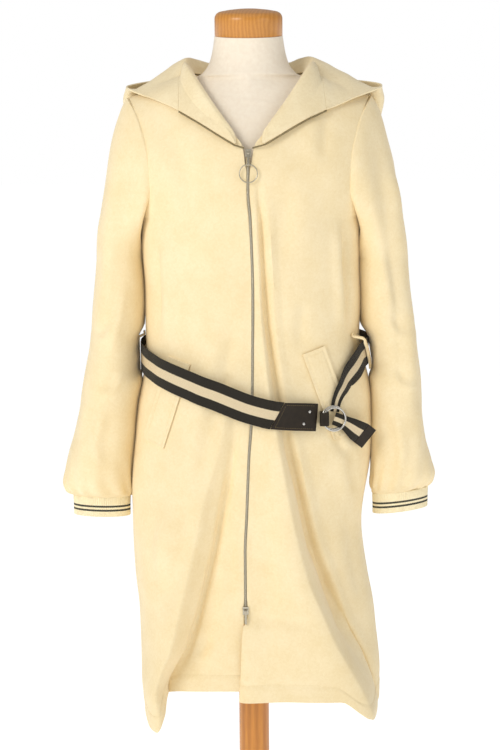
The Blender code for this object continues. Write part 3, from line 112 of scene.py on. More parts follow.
def new_group(name, inputs, outputs):
    """An empty shader node group with named value or colour sockets."""
    group = bpy.data.node_groups.new(name, "ShaderNodeTree")
    for title, kind, value in inputs:
        group.interface.new_socket(title, in_out="INPUT", socket_type=kind).default_value = value
    for title, kind in outputs:
        group.interface.new_socket(title, in_out="OUTPUT", socket_type=kind)
    return group, group.nodes.new("NodeGroupInput"), group.nodes.new("NodeGroupOutput")


def new_material(name, rough, **shader_values):
    """A material with a Principled shader whose constant sockets are set here."""
    made = bpy.data.materials.new(name)
    made.use_nodes = True
    shader = made.node_tree.nodes["Principled BSDF"]
    shader.inputs["Roughness"].default_value = rough
    for key, value in shader_values.items():
        shader.inputs[key.replace("_", " ")].default_value = value
    return made, made.node_tree, shader


def join(tree, value, node, key):
    """Give a node's input a plain value, or link another node's output to it."""
    if isinstance(value, bpy.types.NodeSocket):
        tree.links.new(value, node.inputs[key])
    else:
        node.inputs[key].default_value = value


def put(tree, kind, values=None, **settings):
    """A node of a kind, with its settings and its inputs."""
    made = tree.nodes.new("ShaderNode" + kind)
    for key, value in settings.items():
        setattr(made, key, value)
    for key, value in (values or {}).items():
        join(tree, value, made, key)
    return made


def calc(tree, kind, a, b=None, clamp=False):
    """One step of arithmetic."""
    given = {k: value for k, value in enumerate((a, b)) if value is not None}
    return put(tree, "Math", given, operation=kind, use_clamp=clamp).outputs[0]


def weigh(tree, a, share_a, b, share_b, clamp=False):
    """Two values, each times its share, added."""
    return calc(tree, "ADD", calc(tree, "MULTIPLY", a, share_a), calc(tree, "MULTIPLY", b, share_b), clamp)


def fit(tree, value, low, high, to_low=0.0, to_high=1.0):
    """A value between two limits, fitted to two others."""
    limits = {"Value": value, "From Min": low, "From Max": high, "To Min": to_low, "To Max": to_high}
    return put(tree, "MapRange", limits).outputs["Result"]


def noise(tree, where, scale, detail, bend=0.0):
    """Cloudy noise."""
    values = {"Vector": where, "Scale": scale, "Detail": detail, "Distortion": bend}
    return put(tree, "TexNoise", values).outputs["Fac"]


def wave(tree, where, scale, bend, detail, way, detail_scale=1.0):
    """Bands that run one way."""
    values = {"Vector": where, "Scale": scale, "Distortion": bend, "Detail": detail,
              "Detail Scale": detail_scale}
    return put(tree, "TexWave", values, bands_direction=way).outputs["Fac"]


def mix(tree, share, a, b):
    """A colour between a and b."""
    return put(tree, "Mix", {"Factor": share, "A": a, "B": b}, data_type="RGBA").outputs["Result"]


def paint(tree, shader, share, a, b):
    """Colour a shader between a and b."""
    join(tree, mix(tree, share, a, b), shader, "Base Color")


def bump(tree, shader, height, strength, distance):
    """Raise a shader's surface by a height."""
    made = put(tree, "Bump", {"Height": height, "Strength": strength, "Distance": distance})
    join(tree, made.outputs["Normal"], shader, "Normal")


def in_object(tree):
    """Places in the object's own axes, in metres."""
    return put(tree, "TexCoord").outputs["Object"]


def on_cloth(tree):
    """Places on the cloth's map, in metres across and along."""
    return put(tree, "UVMap", uv_map="cloth").outputs["UV"]


def shaded(color, share):
    """A colour made darker."""
    return tuple(v * share for v in color[:3]) + (1,)


print("node helpers ready")

# %% [markdown]
# Studio light for pale cloth is broad and even, so that white cloth stays white and only the folds
# turn darker. A bright plain surround does most of the work; two large soft lamps, one high on the
# left and one on the right, give the folds their direction. The floor is a plain pale sheet.

# %% Light and floor
world = bpy.data.worlds.new("studio")
bpy.context.scene.world = world
world.use_nodes = True
sky = world.node_tree
sky.nodes["Background"].inputs["Color"].default_value = (1.0, 1.0, 1.0, 1.0)
seen = sky.nodes.new("ShaderNodeLightPath").outputs["Is Camera Ray"]
WORLD_FILL = 0.38
join(sky, fit(sky, seen, 0.0, 1.0, WORLD_FILL), sky.nodes["Background"], "Strength")
bpy.context.scene.view_settings.view_transform = "Standard"


def soft_lamp(name, place, aim, size, watts, color=(1.0, 1.0, 1.0)):
    """A square area lamp at a place, turned to a point."""
    data = bpy.data.lights.new(name, "AREA")
    data.shape = "RECTANGLE"
    data.size, data.size_y = size
    data.energy = watts
    data.color = color
    lamp = add_object(name, data)
    lamp.location = place
    lamp.rotation_euler = (Vector(aim) - Vector(place)).to_track_quat("-Z", "Y").to_euler()


soft_lamp("lamp_left", (-2.2, -2.4, 2.6), (0, 0, 0.95), (1.4, 1.4), 53.0, (1.0, 0.975, 0.93))
soft_lamp("lamp_right", (2.6, -2.2, 2.0), (0, 0, 0.95), (1.6, 1.6), 13.0, (1.0, 0.99, 0.97))
soft_lamp("lamp_top", (0.0, -0.6, 3.4), (0, 0, 1.0), (2.0, 2.0), 6.0)

floor_mesh = bpy.data.meshes.new("floor")
floor_mesh.from_pydata([(-40, -40, 0), (40, -40, 0), (40, 40, 0), (-40, 40, 0)], [], [(0, 1, 2, 3)])
floor = add_object("floor", floor_mesh)
floor.location.z = -0.0005
floor_paint, _, _ = new_material("floor_paint", 0.9, Base_Color=(0.93, 0.93, 0.925, 1),
                                 Emission_Color=(1, 1, 1, 1), Emission_Strength=0.66)
floor_mesh.materials.append(floor_paint)
floor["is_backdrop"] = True

# %% [markdown]
# The nap of felt is made once, as a node group that gives a colour and a height. Three sizes of
# noise stand for single fibres, tufts and slow clouds of tone.

# %% The nap of felt
nap_group, nap_in, nap_out = new_group(
    "felt_nap", [("Light", COLOR, (0.9, 0.8, 0.6, 1)), ("Dark", COLOR, (0.8, 0.7, 0.5, 1))],
    [("Color", COLOR), ("Height", FLOAT)])
place = in_object(nap_group)
fibre = noise(nap_group, place, 900.0, 3.0, 1.6)
tuft = noise(nap_group, place, 240.0, 3.0, 0.8)
cloud = noise(nap_group, place, 26.0, 4.0)
tone = fit(nap_group, weigh(nap_group, tuft, 0.5, cloud, 0.5), 0.36, 0.64)
join(nap_group, mix(nap_group, tone, nap_in.outputs["Dark"], nap_in.outputs["Light"]), nap_out, "Color")
join(nap_group, weigh(nap_group, fibre, 0.55, tuft, 0.9), nap_out, "Height")
print("group felt_nap")

# %% [markdown]
# Felted wool is matt, with a soft bloom of fibre ends that catches light at the edges of folds. The
# Principled shader's sheen gives that bloom; the nap group breaks up the colour a little and gives
# the bump. The colours are read as the cloth looks in the light, and turned to linear values.

# %% Cloth materials
def linear(red, green, blue):
    """A screen colour of 0 to 255 as linear values."""
    def one(v):
        v = v / 255.0
        return v / 12.92 if v <= 0.04045 else ((v + 0.055) / 1.055) ** 2.4
    return (one(red), one(green), one(blue), 1.0)


def felt(name, light, dark):
    """Felted wool: nap colour, nap bump and a little sheen."""
    made, tree, shader = new_material(name, 0.93, Sheen_Weight=0.25, Sheen_Roughness=0.5,
                                      Specular_IOR_Level=0.15)
    nap = put(tree, "Group", {"Light": light, "Dark": dark}, node_tree=nap_group)
    join(tree, nap.outputs["Color"], shader, "Base Color")
    bump(tree, shader, nap.outputs["Height"], 0.25, 0.0006)
    return made


WOOL = felt("cream_felt", linear(247, 229, 189), linear(240, 219, 173))
WOOL_DEEP = felt("cream_felt_hood", linear(246, 230, 192), linear(236, 217, 175))
print("felt materials made")

# %% [markdown]
# The coat's panels follow one set of measured rows: how wide and deep the body is at each height,
# where the zip runs, where the deep folds lie. A pattern cutter would write the same list. Between
# the rows a smooth curve that never overshoots is drawn, so a few rows are enough for a whole panel.

# %% Rows of the body
CLOTH = 0.0025
RIB_CLOTH = 0.0030
WEBBING = 0.0016
LEATHER = 0.0022
SEAM = 0.0003
HEM_Z = 0.400
UNDERARM_Z = 1.165
SHOULDER = (0.188, 1.352)
NECK_SIDE = (0.088, 1.3873)
SIDE_Y = 0.005
NECK_DIP = 0.005
ZIP_HALF = 0.0033
SHOULDER_ROUND = 2.2
YOKE_HALF = 0.215
BODY = {
    "z":      (0.400, 0.440, 0.520, 0.600, 0.680, 0.780, 0.870, 0.940, 0.980, 1.060, 1.165),
    "right":  (0.174, 0.180, 0.183, 0.189, 0.194, 0.191, 0.181, 0.170, 0.1675, 0.169, 0.172),
    "left":   (0.203, 0.203, 0.197, 0.185, 0.176, 0.190, 0.193, 0.180, 0.173, 0.1755, 0.175),
    "front":  (0.124, 0.124, 0.127, 0.130, 0.132, 0.134, 0.132, 0.128, 0.127, 0.128, 0.130),
    "back":   (0.150, 0.150, 0.149, 0.147, 0.145, 0.142, 0.137, 0.131, 0.129, 0.126, 0.123),
    "square": (4.2, 3.9, 3.2, 2.8, 2.6, 2.4, 2.3, 2.3, 2.3, 2.3, 2.3),
}
ZIP = {
    "z": (0.400, 0.575, 0.650, 0.710, 0.800, 0.850, 0.900, 0.960, 1.060, 1.167, 1.208, 1.272),
    "x": (-0.012, -0.012, -0.012, -0.009, -0.005, -0.001, 0.001, 0.002, 0.003, 0.0, -0.003, -0.002),
}
OVERLAP = {
    "z":       (0.400, 0.450, 0.500, 0.530, 0.5460),
    "x":       (-0.024, -0.021, -0.019, -0.0165, -0.0087),
    "forward": (0.015, 0.012, 0.0095, 0.0065, 0.0),
}
LEFT_FOLD = {
    "z":      (0.400, 0.430, 0.475, 0.518, 0.567, 0.618, 0.718, 0.797, 0.896, 1.010, 1.127, 1.225),
    "valley": (0.1975, 0.190, 0.174, 0.151, 0.128, 0.105, 0.079, 0.064, 0.043, 0.027, 0.019, 0.015),
    "ridge":  (0.183, 0.170, 0.146, 0.122, 0.102, 0.081, 0.058, 0.044, 0.027, 0.0155, 0.0105, 0.009),
    "rise":   (0.062, 0.058, 0.051, 0.043, 0.036, 0.029, 0.021, 0.015, 0.009, 0.003, 0.001, 0.0),
    "sink":   (0.006, 0.014, 0.020, 0.022, 0.021, 0.019, 0.015, 0.011, 0.008, 0.006, 0.004, 0.0),
}
RIGHT_FOLD = {
    "z":      (0.400, 0.430, 0.463, 0.500, 0.566, 0.654, 0.719, 0.781, 0.850, 0.950, 1.225),
    "valley": (0.132, 0.136, 0.122, 0.099, 0.079, 0.058, 0.048, 0.037, 0.026, 0.024, 0.020),
    "ridge":  (0.151, 0.156, 0.148, 0.133, 0.118, 0.097, 0.083, 0.065, 0.046, 0.040, 0.034),
    "rise":   (0.054, 0.050, 0.044, 0.038, 0.031, 0.023, 0.017, 0.011, 0.005, 0.0, 0.0),
    "sink":   (0.004, 0.008, 0.013, 0.016, 0.017, 0.014, 0.010, 0.007, 0.003, 0.0, 0.0),
}
HEM = {
    "across": (0.0, 0.15, 0.29, 0.36, 0.43, 0.50, 0.62, 0.78, 1.0),
    "left":   (0.414, 0.4225, 0.4240, 0.3910, 0.3875, 0.3900, 0.3930, 0.3970, 0.400),
    "right":  (0.4265, 0.4260, 0.4245, 0.4210, 0.3930, 0.3720, 0.3740, 0.3860, 0.398),
}
TUBE_Z = (0.40, 0.545)
ARMHOLE = {
    "v":     (0.0, 0.10, 0.24, 0.48, 0.72, 0.91, 1.0),
    "front": (0.173, 0.163, 0.156, 0.157, 0.166, 0.179, 0.188),
    "back":  (0.173, 0.169, 0.166, 0.167, 0.173, 0.182, 0.188),
}
NECK_EDGE = {
    "v": (0.0, 0.25, 0.48, 0.60, 0.80, 1.0),
    "z": (1.165, 1.222, 1.275, 1.299, 1.342, 1.3873),
    "x": (0.0, 0.0, 0.0055, 0.024, 0.056, 0.088),
}
BACK_FOLDS = ((-0.62, 0.016, 0.16), (-0.22, 0.020, 0.14), (0.25, 0.017, 0.15), (0.66, 0.014, 0.17))
BACK_FOLD_TOP = 1.05
ROWS_BELOW = (0.0, 0.035, 0.08, 0.135, 0.176, 0.255, 0.32, 0.385, 0.45, 0.52, 0.59, 0.655, 0.70, 0.745,
              0.80, 0.87, 0.94)
ROWS_ABOVE = (0.0, 0.06, 0.13, 0.24, 0.36, 0.48, 0.61, 0.74, 0.85, 0.93, 0.975, 1.0)
FRONT_GUIDES = (0.0, 0.36, 0.50, 1.0)
FRONT_STEPS = (5, 3, 6)
SIDES = {"left": 1.0, "right": -1.0}
SHOULDER_SLOPE = (NECK_SIDE[1] - SHOULDER[1]) / (SHOULDER[0] - NECK_SIDE[0])
print("rows of the body", len(BODY["z"]), "zip", len(ZIP["z"]))


# %% Curves through rows
def within(value):
    """A value kept between 0 and 1."""
    return np.clip(value, 0, 1)


def eased(share):
    """A share of 0 to 1 that starts and ends gently."""
    return share * share * (3 - 2 * share)


def bell(away, width):
    """1 in the middle, and fading within about a width to both sides."""
    return np.exp(-(away / width) ** 2)


def round_angles(count):
    """Evenly spaced angles round a circle."""
    return np.arange(count) * 2 * math.pi / count


def wrapped(grid):
    """A grid whose first column comes again at its end."""
    return np.concatenate([grid, grid[:, :1]], axis=1)


def lengths_of(grid, axis=0):
    """Running lengths along one way of a grid, or along a path."""
    step = np.linalg.norm(np.diff(grid, axis=axis), axis=-1)
    zero = np.zeros_like(step.take([0], axis=axis))
    return np.concatenate([zero, np.cumsum(step, axis=axis)], axis=axis)


def rows_between(rows, spots, at):
    """Vectors known at spots, read in straight lines at other places."""
    return np.stack([np.interp(at, spots, rows[:, k]) for k in range(3)], -1)


def smooth(xs, ys, at):
    """Monotone cubic through rows (xs, ys) at the places given: no overshoot between rows."""
    xs = np.asarray(xs, float)
    ys = np.asarray(ys, float)
    step = np.diff(xs)
    rise = np.diff(ys) / step
    slope = np.zeros_like(ys)
    slope[0], slope[-1] = rise[0], rise[-1]
    same = rise[:-1] * rise[1:] > 0
    total = np.where(same, rise[:-1] + rise[1:], 1.0)
    slope[1:-1] = np.where(same, 2 * rise[:-1] * rise[1:] / total, 0.0)
    at = np.clip(np.asarray(at, float), xs[0], xs[-1])
    k = np.clip(np.searchsorted(xs, at, side="right") - 1, 0, len(xs) - 2)
    t = (at - xs[k]) / step[k]
    a = (1 + 2 * t) * (1 - t) ** 2 * ys[k] + t * (1 - t) ** 2 * step[k] * slope[k]
    b = eased(t) * ys[k + 1] + t * t * (t - 1) * step[k] * slope[k + 1]
    return a + b


def read(table, name, at, by="z"):
    """One named column of a table, read smoothly at the places given."""
    return smooth(table[by], table[name], at)


def unit(vectors):
    """Vectors scaled to length one."""
    vectors = np.asarray(vectors, float)
    return vectors / np.maximum(np.linalg.norm(vectors, axis=-1, keepdims=True), 1e-12)


def finer(values, per):
    """Values read on a smooth curve with a number of steps between each two, ends kept."""
    count = len(values) - 1
    return smooth(range(count + 1), values, np.linspace(0, count, count * per + 1))


# %% [markdown]
# Seen from above the body is a rounded box whose depth runs out at the side seams. Above the arm it
# narrows to the shoulder seam. The fronts carry two deep folds that grow towards the hem, where
# they widen into round tubes; the back hangs in four soft waves.

# %% The shape of the body
def shoulder_line(x):
    """Height of the shoulder seam's line at a distance from the middle."""
    return SHOULDER[1] + (SHOULDER[0] - np.abs(x)) * SHOULDER_SLOPE


def neckline_height(x):
    """Height of the coat's top edge: the shoulder seam, then the back neckline between them."""
    dip = NECK_DIP * within(1 - (x / NECK_SIDE[0]) ** 2)
    return np.minimum(shoulder_line(x), NECK_SIDE[1]) - dip


def body_depth(x, z, side, face):
    """Distance from the side seam's plane to the plain cloth, front or back, folds left out."""
    below = np.minimum(z, UNDERARM_Z)
    half = read(BODY, side, below)
    above = within((z - UNDERARM_Z) / (SHOULDER[1] - UNDERARM_Z))
    half = half + (YOKE_HALF - half) * above * (2 - above)
    power = read(BODY, "square", below)
    full = read(BODY, face, below) * within(1 - (np.abs(x) / half) ** power) ** (1 / power)
    top = shoulder_line(x)
    under = within((top - z) / (top - UNDERARM_Z))
    return full * (1 - (1 - under) ** SHOULDER_ROUND) ** (1 / SHOULDER_ROUND)


def spread(side, share, start, end, z):
    """Places across a front from start to the side seam, evenly spaced round its curve."""
    half = read(BODY, side, z)
    power = read(BODY, "square", z)
    first = np.arcsin(within(np.abs(start) / half) ** (power / 2))
    return half * np.sin(first + (end - first) * share) ** (2 / power)


def front_guides(side, z):
    """Distances out from the middle of a front's centre edge and two fold guides."""
    middle = SIDES[side] * read(ZIP, "x", z)
    edge = middle + ZIP_HALF
    fold = LEFT_FOLD if side == "left" else RIGHT_FOLD
    if side == "left":
        edge = np.where(z < OVERLAP["z"][-1], read(OVERLAP, "x", z), edge)
        return edge, read(fold, "ridge", z), read(fold, "valley", z)
    return edge, read(fold, "valley", z), read(fold, "ridge", z)


def front_across(side, c, z):
    """Distance out from the middle at column place c, which runs from 0 at the zip to 1."""
    edge, first, second = front_guides(side, z)
    c0, c1, c2, c3 = FRONT_GUIDES
    inner = edge + (first - edge) * within((c - c0) / (c1 - c0))
    fold = first + (second - first) * within((c - c1) / (c2 - c1))
    outer = spread(side, within((c - c2) / (c3 - c2)), second, math.pi / 2, z)
    return np.where(c <= c1, inner, np.where(c <= c2, fold, outer))


def front_forward(side, c, z):
    """How far the folds push a front forward."""
    fold = LEFT_FOLD if side == "left" else RIGHT_FOLD
    rise = read(fold, "rise", z)
    sink = -read(fold, "sink", z)
    edge = read(OVERLAP, "forward", z) if side == "left" else np.zeros_like(z)
    first, second = (rise, sink) if side == "left" else (sink, rise)
    c0, c1, c2, c3 = FRONT_GUIDES

    tube = 0.75 * within((TUBE_Z[1] - z) / (TUBE_Z[1] - TUBE_Z[0]))

    def ease(start, end, share):
        share = within(share)
        soft = eased(share)
        to_ridge, from_ridge = np.sqrt(1 - (1 - share) ** 2), 1 - np.sqrt(1 - share ** 2)
        round_off = np.where(end > start, to_ridge, from_ridge)
        return start + (end - start) * (soft + (round_off - soft) * tube)

    near = ease(edge, first, (c - c0) / (c1 - c0))
    mid = ease(first, second, (c - c1) / (c2 - c1))
    far = ease(second, 0.0, (c - c2) / (c3 - c2))
    return np.where(c <= c1, near, np.where(c <= c2, mid, far))


def front_point(side, c, t):
    """Outer surface of a front: c across from the zip, t up from the hem (1 underarm, 2 top)."""
    c, t = np.broadcast_arrays(np.asarray(c, float), np.asarray(t, float))
    hem = read(HEM, side, c, by="across")
    z = hem + (UNDERARM_Z - hem) * np.minimum(t, 1)
    x = front_across(side, c, z)
    v = within(t - 1)
    start = front_across(side, c, np.full_like(z, UNDERARM_Z))
    zero = front_across(side, np.zeros_like(z), np.full_like(z, UNDERARM_Z))
    share = (start - zero) / (read(BODY, side, UNDERARM_Z) - zero)
    arm_x = smooth(ARMHOLE["v"], ARMHOLE["front"], v)
    arm_x = np.where(v < 1e-9, read(BODY, side, UNDERARM_Z), arm_x)
    arm_z = UNDERARM_Z + v * (SHOULDER[1] - UNDERARM_Z)
    neck_z = smooth(NECK_EDGE["v"], NECK_EDGE["z"], v)
    zip_x = SIDES[side] * read(ZIP, "x", neck_z) + ZIP_HALF
    neck_x = zip_x + (1 - zip_x / NECK_EDGE["x"][-1]) * smooth(NECK_EDGE["v"], NECK_EDGE["x"], v)
    upper = t > 1
    x = np.where(upper, neck_x + share * (arm_x - neck_x), x)
    z = np.where(upper, neck_z + share * (arm_z - neck_z), z)
    y = SIDE_Y - body_depth(x, z, side, "front") - front_forward(side, c, z)
    return np.stack([SIDES[side] * x, y, z], axis=-1)


def back_point(c, t):
    """Outer surface of the back: c from -1 at the right side seam to 1 at the left one."""
    c, t = np.broadcast_arrays(np.asarray(c, float), np.asarray(t, float))
    z = HEM_Z + (UNDERARM_Z - HEM_Z) * np.minimum(t, 1)
    v = within(t - 1)
    points = np.zeros(c.shape + (3,))
    for side, sign in SIDES.items():
        here = c * sign >= 0
        turn = np.abs(c) * math.pi / 2
        power = read(BODY, "square", z)
        x = read(BODY, side, z) * np.sin(turn) ** (2 / power)
        half = read(BODY, side, UNDERARM_Z)
        arm_x = np.where(v < 1e-9, half, smooth(ARMHOLE["v"], ARMHOLE["back"], v))
        x = np.where(t > 1, x * arm_x / half, x)
        last = x / arm_x * SHOULDER[0]
        top = neckline_height(last)
        up = np.where(t > 1, UNDERARM_Z + v * (top - UNDERARM_Z), z)
        soft = within((BACK_FOLD_TOP - up) / (BACK_FOLD_TOP - HEM_Z))
        waves = sum(depth * bell(c - place, width) for place, depth, width in BACK_FOLDS)
        edge = within((1 - np.abs(c)) * 8)
        y = SIDE_Y + body_depth(x, up, side, "back") - waves * soft ** 1.3 * edge
        found = np.stack([sign * x, y, up], axis=-1)
        points[here] = found[here]
    return points


# %% [markdown]
# Thick felt folds softly. Each crease is a line on the front as seen from ahead, with a trough along
# it and a low ridge beside it; both fade towards the line's ends. A point's height is the sum of
# what every crease gives at its distance from the line. Some slow waves keep the rest from being
# too even.

# %% Creases
CREASE_GAIN = 1.4
# Each line runs downwards in (x, z). Then: trough depth, its width, ridge height, the ridge's side
FRONT_CREASES = (
    (((-0.021, 1.017), (-0.031, 0.975), (-0.045, 0.925), (-0.060, 0.864), (-0.073, 0.803), (-0.093, 0.734)),
     0.0045, 0.012, 0.0035, -1),
    (((-0.092, 0.748), (-0.105, 0.678), (-0.135, 0.590), (-0.153, 0.531)), 0.0040, 0.016, 0.0030, -1),
    (((-0.033, 0.688), (-0.035, 0.589), (-0.031, 0.530)), 0.0018, 0.010, 0.0010, -1),
    (((0.022, 0.742), (0.024, 0.633), (0.018, 0.514), (0.003, 0.467)), 0.0035, 0.018, 0.0015, 1),
    (((-0.145, 1.144), (-0.143, 1.035), (-0.146, 0.966)), 0.0050, 0.007, 0.0030, 1),
    (((0.145, 1.171), (0.147, 1.101), (0.151, 1.036), (0.153, 0.974)), 0.0065, 0.006, 0.0040, -1),
    (((0.154, 0.815), (0.157, 0.771), (0.167, 0.722)), 0.0035, 0.008, 0.0020, -1),
    (((0.118, 1.329), (0.114, 1.285), (0.112, 1.246)), 0.0022, 0.010, 0.0015, -1),
    (((0.124, 0.840), (0.137, 0.815), (0.149, 0.793)), 0.0030, 0.006, 0.0022, 1),
    (((0.132, 0.846), (0.160, 0.834)), 0.0020, 0.005, 0.0015, 1),
    (((0.082, 1.044), (0.0745, 0.998), (0.080, 0.958)), 0.0022, 0.009, 0.0015, -1),
    (((-0.034, 0.9345), (-0.045, 0.891)), 0.0022, 0.006, 0.0015, -1),
    (((-0.155, 0.717), (-0.158, 0.641), (-0.1515, 0.568)), 0.0030, 0.010, 0.0020, 1),
    (((0.154, 0.702), (0.157, 0.6385), (0.175, 0.542)), 0.0035, 0.012, 0.0020, -1),
    (((-0.063, 0.512), (-0.076, 0.4995), (-0.090, 0.477)), 0.0028, 0.008, 0.0015, 1),
    (((-0.119, 1.316), (-0.0975, 1.227), (-0.091, 1.136)), 0.0018, 0.014, 0.0012, -1),
    (((0.060, 1.230), (0.052, 1.150), (0.047, 1.080)), 0.0018, 0.014, 0.0012, 1),
    (((0.014, 1.248), (0.015, 1.202), (0.018, 1.162), (0.022, 1.087), (0.025, 1.033), (0.031, 0.969),
      (0.039, 0.916), (0.049, 0.851), (0.055, 0.826)), 0.0058, 0.0046, 0.0038, 1),
    (((0.035, 0.942), (0.045, 0.882), (0.055, 0.827), (0.065, 0.782), (0.077, 0.725), (0.091, 0.658),
      (0.112, 0.603), (0.124, 0.566), (0.136, 0.532), (0.157, 0.495), (0.175, 0.464), (0.187, 0.436),
      (0.195, 0.392)), 0.0064, 0.0056, 0.0042, 1),
    (((-0.020, 0.859), (-0.027, 0.816), (-0.038, 0.756), (-0.048, 0.708), (-0.057, 0.660), (-0.066, 0.623),
      (-0.076, 0.583), (-0.087, 0.540), (-0.104, 0.487), (-0.122, 0.451), (-0.141, 0.426)),
     0.0046, 0.0056, 0.0026, -1),
)
BACK_CREASES = (
    (((-0.145, 1.150), (-0.140, 1.060), (-0.144, 0.975)), 0.0050, 0.008, 0.0030, 1),
    (((0.146, 1.155), (0.143, 1.060), (0.149, 0.980)), 0.0055, 0.008, 0.0035, -1),
    (((0.060, 1.130), (0.048, 1.050), (0.030, 0.975)), 0.0028, 0.014, 0.0020, 1),
    (((-0.070, 1.120), (-0.052, 1.035), (-0.045, 0.978)), 0.0030, 0.013, 0.0020, -1),
    (((0.085, 0.930), (0.092, 0.850), (0.110, 0.760), (0.118, 0.660)), 0.0035, 0.014, 0.0025, 1),
    (((-0.030, 0.930), (-0.036, 0.830), (-0.030, 0.720)), 0.0030, 0.015, 0.0020, -1),
    (((-0.115, 0.925), (-0.124, 0.850), (-0.140, 0.760)), 0.0032, 0.012, 0.0020, 1),
    (((0.020, 0.700), (0.028, 0.600), (0.024, 0.500)), 0.0026, 0.018, 0.0015, 1),
)


def beside_line(x, z, line):
    """Signed distance to a polyline in (x, z), + to its +x side going down, and share of its length."""
    line = np.array(line)
    start, step = line[:-1], np.diff(line, axis=0)
    lengths = np.linalg.norm(step, axis=1)
    before = lengths_of(line)
    rx, rz = x[..., None] - start[:, 0], z[..., None] - start[:, 1]
    free = (rx * step[:, 0] + rz * step[:, 1]) / lengths ** 2
    held = within(free)
    far = np.hypot(rx - held * step[:, 0], rz - held * step[:, 1])
    side = np.sign(step[:, 0] * rz - step[:, 1] * rx)
    best = np.argmin(far, axis=-1)[..., None]
    pick = [np.take_along_axis(v, best, axis=-1)[..., 0] for v in (far, side, held)]
    return pick[0] * pick[1], (before[best[..., 0]] + pick[2] * lengths[best[..., 0]]) / before[-1]


def relief(x, z, creases):
    """Height of the soft creases: a bell-shaped trough, a bell-shaped ridge beside it, faded ends."""
    total = np.zeros_like(x)
    for line, depth, width, ridge, side in creases:
        away, share = beside_line(x, z, line)
        fade = within(share / 0.28) * within((1 - share) / 0.34)
        fade = eased(fade)
        trough = bell(away, width)
        crest = bell(away - side * 1.9 * width, 1.5 * width)
        total += CREASE_GAIN * fade * (ridge * crest - depth * trough)
    return total


def slow_waves(x, z, height=0.0007):
    """Sum of three slow sine waves that lie askew, so that no stretch of cloth is quite even."""
    waves = np.sin(31 * x + 17 * z) + 0.8 * np.sin(53 * z - 24 * x + 1.3)
    return height * (waves + 0.6 * np.sin(71 * x + 43 * z + 2.1))


print("creases", len(FRONT_CREASES), "front", len(BACK_CREASES), "back")

# %% [markdown]
# A panel of cloth is two sheets of points one wall apart, with a rim round the edge, so it is a
# closed body that can be measured and printed. The points go into the mesh as whole arrays. The
# map that the finishes read runs in metres across and along the panel. A small bevel rounds the rim.

# %% From a grid of points to a panel
def grid_normals(points, flip=False, wrap=False):
    """Unit normals: the cross product of the step across and the step along."""
    if wrap:
        ring = np.concatenate([points[:, -1:], points, points[:, :1]], axis=1)
        across = np.gradient(ring, axis=1)[:, 1:-1]
    else:
        across = np.gradient(points, axis=1)
    normals = unit(np.cross(across, np.gradient(points, axis=0)))
    return -normals if flip else normals


def quads_of(index):
    """Four corners of each square of a grid of numbers."""
    return np.stack([index[:-1, :-1], index[:-1, 1:], index[1:, 1:], index[1:, :-1]], -1).reshape(-1, 4)


def inside_out(points, quads):
    """True if a closed surface faces inward, by the sign of its volume."""
    a, b, c, d = (points[quads[:, k]] for k in range(4))
    return np.sum(a * np.cross(b, c)) + np.sum(a * np.cross(c, d)) < 0


def mesh_of(name, points, quads, spots=None):
    """A mesh from whole arrays: points, faces of four corners, and a place on the map for each corner."""
    mesh = bpy.data.meshes.new(name)
    mesh.vertices.add(len(points))
    mesh.vertices.foreach_set("co", points.astype(np.float32).ravel())
    mesh.loops.add(quads.size)
    mesh.loops.foreach_set("vertex_index", quads.astype(np.int32).ravel())
    mesh.polygons.add(len(quads))
    mesh.polygons.foreach_set("loop_start", np.arange(0, quads.size, 4, dtype=np.int32))
    mesh.polygons.foreach_set("loop_total", np.full(len(quads), 4, dtype=np.int32))
    mesh.update(calc_edges=True)
    if spots is not None:
        layer = mesh.uv_layers.new(name="cloth")
        layer.data.foreach_set("uv", spots.astype(np.float32).ravel())
    mesh.shade_smooth()
    return mesh


def place_piece(name, mesh, finish, nodes=(), body="root"):
    """An object for a mesh, with its finish, that rides on a body and stands for CAD nodes."""
    mesh.materials.append(finish)
    made = add_object(name, mesh)
    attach(made, body)
    if nodes:
        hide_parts(*nodes)
    return made


def walled(name, outer, inner, finish, nodes, slot="wool", wrap=False, rim=0.0009, body="root",
           centred=False):
    """A closed panel: outer grid, inner grid and the rims between them, all one winding."""
    rows, columns = outer.shape[:2]
    count = rows * columns
    index = np.arange(count).reshape(rows, columns)
    map_grid = outer if not wrap else wrapped(outer)
    across, along = lengths_of(map_grid, 1), lengths_of(map_grid, 0)
    if centred:
        across = across - across[:, -1:] / 2
    spots = np.stack([across, along], -1)
    if wrap:
        index = wrapped(index)
    wide = index.shape[1]
    flat = np.arange(rows * wide).reshape(rows, wide)
    sides = [(quads_of(index), quads_of(flat)), (quads_of(index)[:, ::-1] + count, quads_of(flat)[:, ::-1])]
    rims = [(index[0], flat[0], True), (index[-1], flat[-1], False)]
    if not wrap:
        rims += [(index[:, 0], flat[:, 0], False), (index[:, -1], flat[:, -1], True)]
    for edge, spot, turned_round in rims:
        a, b = quads_of(np.stack([edge, edge + count])), quads_of(np.stack([spot, spot]))
        sides.append((a[:, ::-1], b[:, ::-1]) if turned_round else (a, b))
    quads = np.concatenate([a for a, b in sides])
    corners = np.concatenate([b for a, b in sides])
    points = np.concatenate([outer.reshape(-1, 3), inner.reshape(-1, 3)])
    if inside_out(points, quads):
        quads, corners = quads[:, ::-1], corners[:, ::-1]
    mesh = mesh_of(name, points, quads, spots.reshape(-1, 2)[corners])
    made = place_piece(name, mesh, finish, nodes, body)
    bevel = made.modifiers.new("rim", "BEVEL")
    bevel.width = rim
    bevel.segments = 3
    bevel.limit_method = "ANGLE"
    bevel.angle_limit = math.radians(55)
    return made


